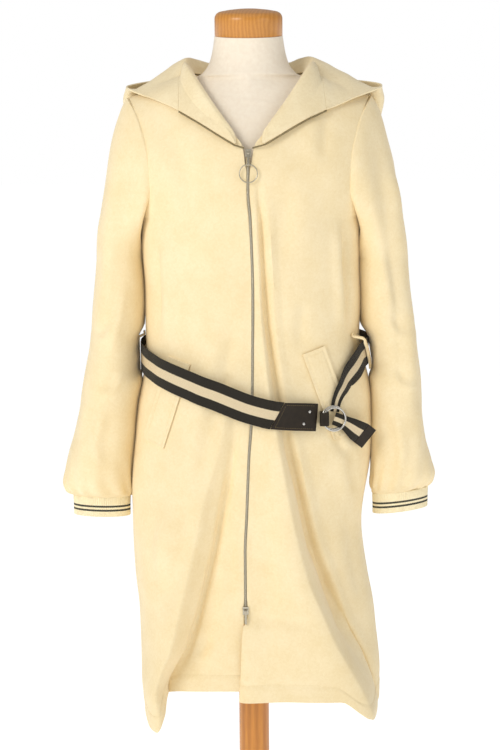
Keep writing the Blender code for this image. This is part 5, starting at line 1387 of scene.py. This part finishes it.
z = np.linspace(CHAIN_ENDS[0], CHAIN_ENDS[1], 400)
zip_path = np.stack([read(ZIP, "x", z), front_y(z) + CHAIN_THICK / 2, z], -1)
centres, along = along_curve(zip_path, TOOTH_STEP / 2)
turned_side = np.where(np.arange(len(centres)) % 2 == 0, 1.0, -1.0)[:, None]
outwards = np.tile((1.0, 0.0, 0.0), (len(centres), 1)) * turned_side
starts = centres - outwards * TOOTH_REACH * 0.32
points, quads = many(tooth_shape(), starts, outwards, along, np.cross(outwards, along) * turned_side)
place_piece("zip_teeth", mesh_of("zip_teeth", points, quads), ZIP_METAL, ["zip_chain"])
bpy.context.view_layer.update()
print("teeth", len(centres))


def side_zip(side):
    """The open half of the zip: a path from the slider up along the lapel's edge, and its directions."""
    middle, normals = lapels[side]
    outward = unit(middle[:, -1] - middle[:, -2])
    path = middle[:, -1] + outward * (EDGE_CHAIN[0] / 2 + 3 * SEAM)
    mid = SLIDERS["upper"][0] + SLIDER_TALL / 2 + 0.0012
    first = np.array([float(read(ZIP, "x", mid)) + SIDES[side] * 0.0062,
                      float(front_y(np.array(mid))) - 0.0030, mid])
    lead = first + (path[0] - first) * np.linspace(0, 1, 6)[:-1, None]
    path = np.concatenate([lead, path])
    path[1:] = yoke.push_out(path[1:][None], EDGE_CHAIN[1] / 2 + 0.0010)[0]
    facing = unit(np.concatenate([np.repeat(normals[:1, -1], 5, axis=0), normals[:, -1]]))
    along = unit(np.gradient(path, axis=0))
    across = unit(np.cross(along, facing)) * SIDES[side]
    flip = np.sign(np.sum(across[20] * outward[14]))
    return path, across * flip, facing


def band(name, path, across, normals, widths, thick, finish, nodes=(), slot=None, columns=9, rim=0.0004,
         body="root"):
    """A flat band: its middle path, its across direction and width at each place, and a wall."""
    widths = np.broadcast_to(np.asarray(widths, float), (len(path),))
    grid = path[:, None] + across[:, None] * (widths[:, None] * np.linspace(-0.5, 0.5, columns))[..., None]
    half = normals[:, None] * thick / 2
    piece = walled(name, grid + half, grid - half, finish, nodes, slot, rim=rim, body=body, centred=True)
    return piece, grid + half


for side in SIDES:
    path, across, facing = side_zip(side)
    band("zip_tape_" + side, path - facing * 0.0002, across, facing, EDGE_CHAIN[0], 0.0006, TAPE,
         columns=3, rim=0.0002)
    centres, along = along_curve(path, TOOTH_STEP)
    spots = np.linspace(0, 1, len(path))
    at = np.linspace(0, 1, len(centres))
    out_way = unit(rows_between(across, spots, at))
    face_way = unit(np.cross(out_way, along))
    roots = centres + out_way * EDGE_CHAIN[0] * 0.55
    points, quads = many(tooth_shape(), roots, -out_way * 0.72, along, face_way)
    name = "zip_teeth_" + side
    place_piece(name, mesh_of(name, points, quads), OLD_BRASS, ["zip_edge_" + side])

z = np.linspace(CHAIN_ENDS[0] - 0.030, CHAIN_ENDS[1], 70)
closed_tape = np.stack([read(ZIP, "x", z), front_y(z) + CHAIN_THICK / 2 + 0.0012, z], -1)
tape_wide = 0.0062 + 0.0034 * within((CHAIN_ENDS[0] - z) / 0.006)
band("zip_tape_closed", closed_tape, np.tile((1.0, 0, 0), (70, 1)), np.tile((0, -1.0, 0), (70, 1)),
     tape_wide, 0.0005, TAPE_LIGHT, columns=3, rim=0.0002)


def dress(names, finish):
    """Give CAD nodes that keep their shape a finish."""
    for name in names:
        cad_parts[name].data.materials.clear()
        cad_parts[name].data.materials.append(finish)


dress(("zip_slider_upper", "zip_slider_lower", "zip_tab_upper", "zip_tab_lower"), ZIP_METAL)

# %% [markdown]
# A round pull hangs in the slider's tab, and the belt closes with two welded rings. Each is a torus:
# a small circle carried round a large one. The pull ring moves by itself, so it rides on its own body.

# %% Rings
RING_RADIUS = 0.0180
RING_WIRE = 0.0015
BELT_RINGS = {"inner": (0.1256, -0.1070, 0.8595), "outer": (0.1272, -0.1130, 0.8580)}
RING_TURN = math.radians(15.0)
PULL_RING_RADIUS = 0.0136
PULL_RING_WIRE = 0.0009


def ring_grid(centre, radius, wire, across, up, steps=96, round_steps=16):
    """Torus: centre + (radius + wire cos b)(cos a across + sin a up) + wire sin b (across x up)."""
    a = np.arange(steps + 1)[:, None] * 2 * math.pi / steps
    b = np.arange(round_steps + 1)[None] * 2 * math.pi / round_steps
    spoke = np.cos(a)[..., None] * np.array(across) + np.sin(a)[..., None] * np.array(up)
    axle = np.cross(across, up)
    return (np.array(centre) + (radius + wire * np.cos(b))[..., None] * spoke
            + (wire * np.sin(b) * np.ones_like(a))[..., None] * axle)


def closed_round(name, grid, finish, nodes, body="root"):
    """A surface that closes on itself both ways, merged where the ends meet."""
    rows, columns = grid.shape[0] - 1, grid.shape[1] - 1
    index = np.arange(rows * columns).reshape(rows, columns)
    quads = quads_of(wrapped(np.concatenate([index, index[:1]], axis=0)))
    points = grid[:-1, :-1].reshape(-1, 3)
    if inside_out(points, quads):
        quads = quads[:, ::-1]
    return place_piece(name, mesh_of(name, points, quads), finish, nodes, body)


low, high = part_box("zip_pull_ring")
ring_middle = (np.array(low) + np.array(high)) / 2
lean = math.asin(min(1.0, (high.y - low.y - 2 * PULL_RING_WIRE) / (2 * PULL_RING_RADIUS)))
pull_up = (0.0, math.sin(lean), math.cos(lean))
closed_round("pull_ring", ring_grid(ring_middle, PULL_RING_RADIUS, PULL_RING_WIRE, (1, 0, 0), pull_up),
             ZIP_METAL, ["zip_pull_ring"], "zip_pull_ring")
for name, centre in BELT_RINGS.items():
    across = (math.cos(RING_TURN), math.sin(RING_TURN), 0.0)
    closed_round("ring_" + name, ring_grid(centre, RING_RADIUS, RING_WIRE, across, (0, 0, 1)), NICKEL,
                 ["belt_ring_" + name])
print("rings made")

# %% [markdown]
# The belt is cotton webbing, black with a cream stripe woven in. Webbing shows slanting ribs of
# thread that change direction in the stripe's border. The finish reads the band's own map, whose
# first value is the distance from the middle of the band.

# %% Webbing finish
BELT_WIDTH = 0.044
BELT_OFF_BODY = 0.0039
TAB_FROM = 14.0
TAB_SLANT = 0.38
WAIST = {
    "turn": (39.3, 16.2, 0.0, -28.0, -52.0, -76.0, -95.0, -130.0, -180.0, -230.0, -262.0, -286.0),
    "z":    (0.8610, 0.8680, 0.8775, 0.9060, 0.9290, 0.9440, 0.9500, 0.956, 0.958, 0.957, 0.955, 0.9525),
}
WAIST_STATIONS = 41
BELT_DROP = {
    "along": (0.0, 0.2, 0.4, 0.6, 0.8, 1.0),
    "x":     (0.1740, 0.1640, 0.1500, 0.1385, 0.1300, 0.1270),
    "y":     (-0.0535, -0.068, -0.0815, -0.0930, -0.0980, -0.0990),
    "z":     (0.9500, 0.9350, 0.9190, 0.9020, 0.8850, 0.8680),
    "width": (0.0420, 0.0410, 0.0370, 0.0290, 0.0180, 0.0140),
}
FREE_END = {
    "along": (0.0, 0.2, 0.45, 0.72, 0.74, 1.0),
    "x":     (0.1268, 0.1325, 0.1460, 0.1633, 0.1650, 0.1828),
    "y":     (-0.1112, -0.1094, -0.1039, -0.0940, -0.0925, -0.0755),
    "z":     (0.8590, 0.8565, 0.8495, 0.8365, 0.8355, 0.8200),
    "width": (0.0200, 0.0210, 0.0290, 0.0360, 0.0360, 0.0360),
}
FREE_END_LEAD = (-0.83, -0.290, -0.54)
TIP_FROM = 0.74
STRIPE_HALF = 0.0071
STRIPE_BLUR = 0.008


def webbing_finish(name, stripe):
    """Twill webbing whose stripe keeps its share of the width where the band is drawn together."""
    made, tree, shader = new_material(name, 0.82, Sheen_Weight=0.12, Specular_IOR_Level=0.25)
    spot = on_cloth(tree)
    share = put(tree, "Attribute", attribute_name="across_share").outputs["Fac"]
    wander = calc(tree, "MULTIPLY", calc(tree, "SUBTRACT", noise(tree, spot, 900.0, 1.0), 0.5), 0.035)
    away = calc(tree, "ADD", calc(tree, "ABSOLUTE", share), wander)
    weave = wave(tree, spot, 620.0, 0.6, 1.0, "DIAGONAL")
    cream = mix(tree, weave, linear(210, 190, 152), linear(236, 219, 185))
    black = mix(tree, weave, linear(26, 23, 18), linear(50, 45, 35))
    paint(tree, shader, fit(tree, away, stripe - STRIPE_BLUR, stripe + STRIPE_BLUR), cream, black)
    bump(tree, shader, weave, 0.5, 0.0004)
    return made


WEBBING_CLOTH = webbing_finish("striped_webbing", STRIPE_HALF / BELT_WIDTH)


def leather_finish(name):
    """Dark leather: pebbled grain from cells, worn a little lighter where the grain stands up."""
    made, tree, shader = new_material(name, 0.55, Specular_IOR_Level=0.22)
    spot = in_object(tree)
    grain = put(tree, "TexVoronoi", {"Vector": spot, "Scale": 1300.0}).outputs["Distance"]
    haze = noise(tree, spot, 120.0, 4.0)
    paint(tree, shader, haze, linear(27, 21, 13), linear(50, 40, 28))
    join(tree, fit(tree, haze, 0.0, 1.0, 0.30, 0.55), shader, "Roughness")
    bump(tree, shader, grain, 0.35, 0.0003)
    return made


DARK_LEATHER = leather_finish("dark_leather")
print("webbing and leather made")


# %% [markdown]
# The belt is drawn round the coat like a real one: at each turn round the waist it takes the
# outermost cloth in its way, and then the path is pulled taut, so it spans the hollows. In front
# it hangs low; beyond the side loop it drops behind the rings, drawn together, and its free end
# comes out through them to a leather tip.

# %% Belt
def outermost(tree, turn, z, off):
    """A place off the coat's outermost surface, at a turn round the upright and a height."""
    angle = math.radians(turn)
    way = np.array([math.sin(angle), -math.cos(angle), 0.0])
    hit = tree.ray_cast(Vector(AXIS * (1, 1, 0) + way * 0.6 + (0, 0, z)), Vector(-way))[0]
    return np.array(hit) + way * off


def taut(points, rounds=80):
    """Draw a path outward until no point lies inside the chord of its neighbours."""
    points = points.copy()
    for _ in range(rounds):
        chord = (points[:-2] + points[2:]) / 2
        far = np.linalg.norm(chord[:, :2] - AXIS[:2], axis=1)
        near = np.linalg.norm(points[1:-1, :2] - AXIS[:2], axis=1)
        scale = np.maximum(far / near, 1.0)[:, None]
        points[1:-1, :2] = AXIS[:2] + (points[1:-1, :2] - AXIS[:2]) * scale
    return points


def path_frame(path, lead):
    """Across and normal directions of a band whose width lies close to a lead direction."""
    along = unit(np.gradient(path, axis=0))
    normals = unit(np.cross(along, lead))
    return unit(np.cross(normals, along)), normals


def share_across(piece, count):
    """Store each point's place across the band, -0.5 to 0.5, for the stripe."""
    total = len(piece.data.vertices)
    layer = piece.data.attributes.new("across_share", "FLOAT", "POINT")
    layer.data.foreach_set("value", np.resize(np.linspace(-0.5, 0.5, count), total).astype(np.float32))


belt_ground = cloth_tree(["front_left", "front_right", "back", "welt_left", "welt_right"])
ranks = range(len(WAIST["turn"]))
stations = np.linspace(0, len(WAIST["turn"]) - 1, WAIST_STATIONS)
turns, heights = smooth(ranks, WAIST["turn"], stations), smooth(ranks, WAIST["z"], stations)
LIFTS = (-0.021, -0.01, 0, 0.01, 0.021)
SWINGS = (-4.0, -2.0, 2.0)
TAB_COLUMNS, WEB_COLUMNS = 25, 21
waist = []
for swing_turn, z in zip(turns, heights):
    tries = [outermost(belt_ground, swing_turn + swing, z + rise, BELT_OFF_BODY)
             for rise in LIFTS for swing in SWINGS]
    reach = max(np.linalg.norm((point - AXIS)[:2]) for point in tries)
    angle = math.radians(swing_turn)
    waist.append((AXIS[0] + reach * math.sin(angle), AXIS[1] - reach * math.cos(angle), z))
waist = taut(np.array(waist))
count = int((turns >= TAB_FROM).sum())
start = waist[count - 1] + (waist[count] - waist[count - 1]) * 0.06
drop = through(np.stack([BELT_DROP[k] for k in "xyz"], -1), np.linspace(0, 1, 9))
drop_ground = Ground("front_left", "back", "welt_left")
drop = drop_ground.push_out(drop[None], 0.0026)[0]
drop_widths = smooth(BELT_DROP["along"], BELT_DROP["width"], np.linspace(0, 1, 9))
whole = np.concatenate([waist[:count], [start], waist[count:], drop])
slant = np.concatenate([turns[:count], turns[count - 1:count], turns[count:], np.full(9, turns[-1])])
slant = TAB_SLANT * within(1 - np.abs(slant - TAB_FROM) / 15.0)
across, normals = path_frame(whole, np.stack([slant, 0 * slant, 0 * slant + 1], -1))
inward = np.sum(normals * (whole - AXIS) * (1, 1, 0), axis=1, keepdims=True) < 0
normals = np.where(inward, -normals, normals)
across = across + unit(np.gradient(whole, axis=0)) * -slant[:, None]
across[count] = across[count - 1]
normals[count] = normals[count - 1]


def finer_rows(rows, per):
    """Rows of numbers or vectors read on smooth curves between them, ends kept."""
    rows = np.asarray(rows, float)
    return np.stack([finer(rows[:, k], per) for k in range(rows.shape[1])], -1)


tab_path, tab_across, tab_normals = (finer_rows(v[:count], 6) for v in (whole, across, normals))
tab_face = band("belt_tab_leather", tab_path + tab_normals * LEATHER / 2, tab_across, unit(tab_normals),
                BELT_WIDTH - 0.001, LEATHER, DARK_LEATHER, ["belt_tab"], "leather", TAB_COLUMNS, 0.0006)[1]
wide = np.concatenate([np.full(len(waist) - count + 1, BELT_WIDTH), drop_widths])
web_path, web_across, web_normals = (finer_rows(v[count:], 6) for v in (whole, across, normals))
web_piece, web_face = band("belt_webbing_striped", web_path + web_normals * WEBBING / 2, web_across,
                           unit(web_normals), finer(wide, 6), WEBBING, WEBBING_CLOTH,
                           ["belt_webbing"], "webbing", WEB_COLUMNS)
share_across(web_piece, WEB_COLUMNS)
coat["webbing"] = (web_face, np.repeat(unit(web_normals)[:, None], WEB_COLUMNS, axis=1))
cloth_sheet(web_face)

free_path = np.stack([FREE_END[k] for k in "xyz"], -1)
places = np.array((0.0, 0.12, 0.25, 0.4, 0.56, TIP_FROM - 0.005, TIP_FROM, 0.87, 1.0))
free_path = through(free_path, places)
free_widths = smooth(FREE_END["along"], FREE_END["width"], places)
free_across, facing = path_frame(free_path, FREE_END_LEAD)
facing = np.where(facing[:, 1:2] > 0, -facing, facing)
cut = int(np.searchsorted(places, TIP_FROM))
free_across[cut - 1], facing[cut - 1] = free_across[cut], facing[cut]
webbed = [finer_rows(v[:cut], 8) for v in (free_path, free_across, facing)]
end_piece, end_face = band("belt_end_striped", *webbed, finer(free_widths[:cut], 8), WEBBING, WEBBING_CLOTH,
                           ["belt_free_end"], "webbing", WEB_COLUMNS)
share_across(end_piece, WEB_COLUMNS)
cloth_sheet(end_face)
tipped = [finer_rows(v[cut:], 8) for v in (free_path, free_across, facing)]
band("belt_tip_leather", *tipped, finer(free_widths[cut:], 8), LEATHER, DARK_LEATHER,
     ["belt_tip"], "leather", WEB_COLUMNS, 0.0006)
print("belt from tab to loops", round(lengths_of(web_path)[-1], 3))

# %% [markdown]
# Two narrow loops of felt hold the belt at the side seams. Each is a short band that runs over it.

# %% Belt loops
BELT_LOOPS = {"left": ((66.0, 0.9830), (81.0, 0.9260)), "right": ((-86.0, 0.9850), (-90.0, 0.9050))}
LOOP_WIDTH = 0.008
LOOP_OFF = {"left": 0.0020, "right": 0.0014}
LOOP_THICK = 0.0034
loop_ground = cloth_tree(["front_left", "front_right", "back", "welt_left", "welt_right", "webbing"])
for side in SIDES:
    (turn0, z0), (turn1, z1) = BELT_LOOPS[side]
    loop_path = []
    for s in np.linspace(0, 1, 15):
        loop_turn, z = turn0 + (turn1 - turn0) * s, z0 + (z1 - z0) * s
        tries = [outermost(loop_ground, loop_turn, z + rise, LOOP_OFF[side]) for rise in (-0.006, 0.0, 0.006)]
        far = max(tries, key=lambda point: np.linalg.norm((point - AXIS)[:2]))
        loop_path.append((far[0], far[1], z))
    loop_path = np.array(loop_path)
    lead = math.radians((turn0 + turn1) / 2)
    loop_across, loop_normals = path_frame(loop_path, (math.cos(lead), math.sin(lead), 0.0))
    inward = np.sum(loop_normals * (loop_path - AXIS) * (1, 1, 0), axis=1, keepdims=True) < 0
    loop_normals = np.where(inward, -loop_normals, loop_normals)
    fine = [finer_rows(v, 5) for v in (loop_path + loop_normals * LOOP_THICK / 2, loop_across, loop_normals)]
    band("belt_loop_" + side + "_felt", *fine, LOOP_WIDTH, LOOP_THICK, WOOL, ["belt_loop_" + side],
         "wool", 7, 0.0004)
print("loops made")

# %% Round solids closed by fans
def capped(name, grid, finish, nodes):
    """A round stack of rings closed by a fan at each end, one winding."""
    rings, columns = grid.shape[:2]
    index = np.arange(rings * columns).reshape(rings, columns)
    index = wrapped(index)
    quads = quads_of(index)
    points = grid.reshape(-1, 3)
    ends = np.stack([grid[0].mean(axis=0), grid[-1].mean(axis=0)])
    fans = []
    for row, tip in ((0, len(points)), (-1, len(points) + 1)):
        a, b = index[row, :-1], index[row, 1:]
        fans.append(np.stack([b, a, np.full_like(a, tip)] if row == 0 else [a, b, np.full_like(a, tip)], -1))
    points = np.concatenate([points, ends])
    way = -1 if inside_out(points, quads) else 1
    faces = [face[::way] for face in quads.tolist() + np.concatenate(fans).tolist()]
    mesh = bpy.data.meshes.new(name)
    mesh.from_pydata(points.tolist(), [], faces)
    mesh.shade_smooth()
    mesh.set_sharp_from_angle(angle=math.radians(50))
    return place_piece(name, mesh, finish, nodes)


# %% [markdown]
# Small things are sewn or riveted on last. A stitch is a short capsule that sits half in the cloth;
# a seam is one such capsule repeated along a path. The rivets are low domes on the leather tab.

# %% Stitches
def stitch_shape():
    """A capsule along its second direction: four rings of six points, closed at both ends."""
    turn = np.arange(6) * math.pi / 3
    rings = [np.stack([reach * np.cos(turn), np.full(6, at), reach * np.sin(turn)], -1)
             for at, reach in ((-0.5, 0.4), (-0.32, 1.0), (0.32, 1.0), (0.5, 0.4))]
    index = np.arange(24).reshape(4, 6)
    index = wrapped(index)
    sides = quads_of(index)
    ends = np.array([[0, 1, 2, 3], [0, 3, 4, 5], [21, 20, 19, 18], [23, 22, 21, 18]])
    points = np.concatenate(rings)
    return points, np.concatenate([sides[:, ::-1] if inside_out(points, sides) else sides, ends])


def sew(name, runs, finish, length=0.0030, step=0.0044, radius=0.00028):
    """Stitches along paths. Each run is a path of points with the cloth's normal at each."""
    shape = stitch_shape()
    points, quads, count = [], [], 0
    for path, normals in runs:
        centres, along = along_curve(path, step)
        share = np.linspace(0, 1, len(path))
        at = np.interp(np.arange(len(centres)), [0, len(centres) - 1], [0, 1])
        up = unit(rows_between(normals, share, at))
        beside = unit(np.cross(along, up))
        made = many(shape, centres + up * radius * 0.4, beside * radius, along * length, up * radius)
        points.append(made[0])
        quads.append(made[1] + count)
        count += len(made[0])
    return place_piece(name, mesh_of(name, np.concatenate(points), np.concatenate(quads)), finish, ())


def run_at(grid, normals, up):
    """The path across a grid at a height over its first row."""
    row = np.argmin(np.abs(lengths_of(grid, 0) - up), axis=0)
    column = np.arange(grid.shape[1])
    return grid[row, column], normals[row, column]


for name in ("front_left", "front_right", "back"):
    sew(name + "_hem_stitches", [run_at(*coat[name], HEM_TURN)], WOOL, radius=0.00034)
for side in SIDES:
    grid, normals = coat["welt_" + side]
    long_edges = [(grid[8:-8, k], normals[8:-8, k]) for k in (4, -5)]
    top_edge = [(grid[3, 4:-4], normals[3, 4:-4])]
    sew("welt_" + side + "_stitches", long_edges + top_edge, WOOL)
tab_facing = np.repeat(unit(tab_normals)[:, None], TAB_COLUMNS, axis=1)
tab_edges = [(slice(2, -2), 2), (slice(2, -2), -3), (-3, slice(2, -2))]
sew("belt_tab_stitches", [(tab_face[edge], tab_facing[edge]) for edge in tab_edges],
    TAPE, 0.0026, 0.0036, 0.0003)
print("stitches sewn")

# %% Rivets and keeper
# The rivet's dome, as radius and height over the leather
DOME = ((0.00228, -0.00045), (0.00232, 0.0), (0.0021, 0.00035), (0.0016, 0.00065), (0.0009, 0.00085),
        (0.0002, 0.0009))
for name in ("upper", "lower"):
    low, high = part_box("belt_rivet_" + name)
    middle = (np.array(low) + np.array(high)) / 2
    nearest = np.argmin(np.linalg.norm(tab_face.reshape(-1, 3) - middle, axis=1))
    facing = tab_facing.reshape(-1, 3)[nearest]
    side_way = unit(np.cross(facing, (0, 0, 1)))
    up_way = np.cross(side_way, facing)
    turn = np.arange(32) * math.pi / 16
    rings = np.array([middle + side_way * (r * np.cos(turn))[:, None] + up_way * (r * np.sin(turn))[:, None]
                      + facing * h for r, h in DOME])
    capped("rivet_dome_" + name, rings, NICKEL, ["belt_rivet_" + name])
dress(("belt_keeper",), DARK_LEATHER)
print("rivets and keeper dressed")

# %% [markdown]
# The form under the coat is a stuffed torso in off-white jersey with a turned wooden cap on its
# neck. The jersey is stretched over it, with a sewn ring below the cap and a few slack lines at
# the chest. The torso is a stack of rounded ovals, one at each height, smoothly joined.

# %% Jersey and wood finishes
def jersey_finish(name):
    """Fine knit: rows of small loops, and a little pilling."""
    made, tree, shader = new_material(name, 0.88, Sheen_Weight=0.3, Specular_IOR_Level=0.2)
    spot = in_object(tree)
    rows = wave(tree, spot, 330.0, 1.2, 2.0, "Z")
    pills = noise(tree, spot, 160.0, 4.0)
    paint(tree, shader, pills, linear(236, 221, 200), linear(250, 240, 222))
    bump(tree, shader, calc(tree, "ADD", rows, pills), 0.3, 0.0003)
    return made


def wood_finish(name, light, dark, stretch):
    """Varnished wood: rings seen as long stripes along the grain, darker pores, thin lacquer."""
    made, tree, shader = new_material(name, 0.38, Coat_Weight=0.25, Coat_Roughness=0.25)
    laid = {"Vector": in_object(tree), "Scale": stretch, "Rotation": (0.05, 0.04, 0.3)}
    spot = put(tree, "Mapping", laid).outputs["Vector"]
    rings = wave(tree, spot, 26.0, 5.0, 3.0, "X", 1.2)
    pores = noise(tree, spot, 420.0, 3.0)
    paint(tree, shader, weigh(tree, rings, 0.55, pores, 0.6, True), dark, light)
    bump(tree, shader, pores, 0.1, 0.0004)
    return made


JERSEY = jersey_finish("form_jersey")
CAP_WOOD = wood_finish("cap_wood", linear(212, 148, 64), linear(186, 116, 38), (2.2, 1.0, 1.0))
POLE_WOOD = wood_finish("pole_wood", linear(218, 146, 54), linear(178, 107, 30), (1.0, 1.0, 0.10))
print("jersey and wood made")

# %% Form
NECK_RADIUS = 0.053
NECK_TILT = math.radians(7.0)
NECK_TOP = 1.4455
CAP_HEIGHT = 0.041
FORM_FOOT = 0.690
FORM = {
    "z":      (0.690, 0.740, 0.900, 0.980, 1.060, 1.130, 1.190, 1.250, 1.300, 1.335),
    "half":   (0.158, 0.162, 0.140, 0.126, 0.132, 0.146, 0.152, 0.152, 0.158, 0.163),
    "front":  (0.104, 0.108, 0.098, 0.092, 0.100, 0.114, 0.116, 0.109, 0.098, 0.083),
    "back":   (0.114, 0.118, 0.100, 0.088, 0.092, 0.098, 0.100, 0.094, 0.080, 0.066),
    "square": (2.25, 2.25, 2.25, 2.25, 2.25, 2.25, 2.25, 2.25, 2.20, 1.90),
}
FORM_SHOULDERS = ((1.3475, 0.163, 0.077, 0.044, 1.7), (1.3575, 0.163, 0.073, 0.033, 1.5),
                  (1.3665, 0.1377, 0.070, 0.027, 1.4), (1.3755, 0.1122, 0.0675, 0.032, 1.3),
                  (1.3810, 0.0920, 0.0660, 0.046, 1.5))
FORM_NECK = ((1.386, 0.0765, 0.0648, 0.0630), (1.3925, 0.0692, 0.0615, 0.0600),
             (1.402, 0.0628, 0.0585, 0.0565), (1.420, 0.0572, 0.0550, 0.0537))
POLE_RADIUS = 0.0245
BASE_RADIUS = 0.170
BASE_THICK = 0.025


def arc(centre, radius, start, end, count):
    """Points of a round stretch of a profile."""
    angles = [math.radians(start + (end - start) * i / count) for i in range(count + 1)]
    return [(centre[0] + radius * math.cos(a), centre[1] + radius * math.sin(a)) for a in angles]


def torso_grid(columns=144, per=7):
    """Rounded ovals |x/a|^p + |y/b|^p = 1 stacked by height, drawn in to a leaning neck."""
    rows = [row + (0.0,) for row in zip(FORM["z"], FORM["half"], FORM["front"], FORM["back"], FORM["square"])]
    rows += [row + (0.0,) for row in FORM_SHOULDERS]
    rows += [row + (2.0, 1.0) for row in FORM_NECK + ((NECK_TOP,) + (NECK_RADIUS,) * 3,)]
    rows = finer_rows(rows, per)
    z, half, fore, aft, power, neck = (rows[:, k:k + 1] for k in range(6))
    angle = round_angles(columns)[None]
    s, k = np.sin(angle), np.cos(angle)
    power = np.where(k > 0, power, np.maximum(power, 2.0))
    x = half * np.sign(s) * np.abs(s) ** (2 / power)
    y = np.where(k > 0, -fore, aft) * np.abs(k) ** (2 / power)
    tip = NECK_TILT * y * within((z - 1.412) / (NECK_TOP - 1.412))
    ring = -0.0006 * bell(z - 1.432, 0.0012)
    swell = 1 + ring / np.maximum(half, 0.02)
    back = math.tan(NECK_TILT) * (z - FORM_NECK[0][0]) * neck
    return np.stack([x * swell, SIDE_Y + y * swell - back, z + tip], -1)


def slack_lines(grid):
    """A few shallow lines where the jersey hangs slack across the chest."""
    x, y, z = grid[..., 0], grid[..., 1], grid[..., 2]
    fold = 0.0012 * bell(z - 1.322 - 1.6 * x * x, 0.004) * bell(x, 0.045)
    fold += 0.0009 * bell(z - 1.345 + 0.15 * x, 0.003) * bell(x - 0.02, 0.03)
    out = grid.copy()
    out[..., 1] += np.where(y < 0, -fold, 0.0)
    return out


torso = slack_lines(torso_grid())
capped("form_body", torso, JERSEY, ["form_torso"])


def turned_grid(profile, steps=120):
    """A profile of (radius, height) turned round the upright."""
    profile = np.array(profile)
    angle = round_angles(steps)
    return np.stack([profile[:, :1] * np.cos(angle), profile[:, :1] * np.sin(angle),
                     np.repeat(profile[:, 1:], steps, axis=1)], -1)


inset, round_edge = NECK_RADIUS - 0.0002, 0.011
dome = [(0.0004, CAP_HEIGHT), (0.3 * inset, CAP_HEIGHT - 0.0005), (0.6 * inset, CAP_HEIGHT - 0.0022)]
cap_profile = dome + arc((inset - round_edge, CAP_HEIGHT - 0.0042 - round_edge), round_edge, 78, 0, 12)
cap_profile += [(inset, 0.0006), (inset - 0.0006, 0.0)]
cap = turned_grid(cap_profile)
lean = math.atan(NECK_TILT)
cap_turn = np.array(Matrix.Rotation(lean, 3, "X"))
cap = cap @ cap_turn.T + (0.0, SIDE_Y - math.tan(NECK_TILT) * (NECK_TOP - FORM_NECK[0][0]), NECK_TOP + SEAM)
capped("neck_cap", cap, CAP_WOOD, ["form_neck_cap"])
pole_top = FORM_FOOT - SEAM
pole_profile = [(POLE_RADIUS, pole_top)] + [(POLE_RADIUS, z) for z in np.linspace(pole_top - 0.02, 0.05, 16)]
pole_profile.append((POLE_RADIUS, BASE_THICK + SEAM))
capped("pole", turned_grid(pole_profile), POLE_WOOD, ["form_pole"])
base_edge = 0.006
base_profile = [(0.002, BASE_THICK), (0.10, BASE_THICK)]
base_profile += arc((BASE_RADIUS - base_edge, BASE_THICK - base_edge), base_edge, 90, 0, 8)
capped("base_plate", turned_grid(base_profile + [(BASE_RADIUS, 0.0008), (BASE_RADIUS - 0.0008, 0.0)]),
       CAP_WOOD, ["form_base"])
print("form made")

# %% Sizes
visual_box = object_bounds()
for title, box in (("cad", cad_box), ("visual", visual_box)):
    print(title, [[round(k, 4) for k in v] for v in box])
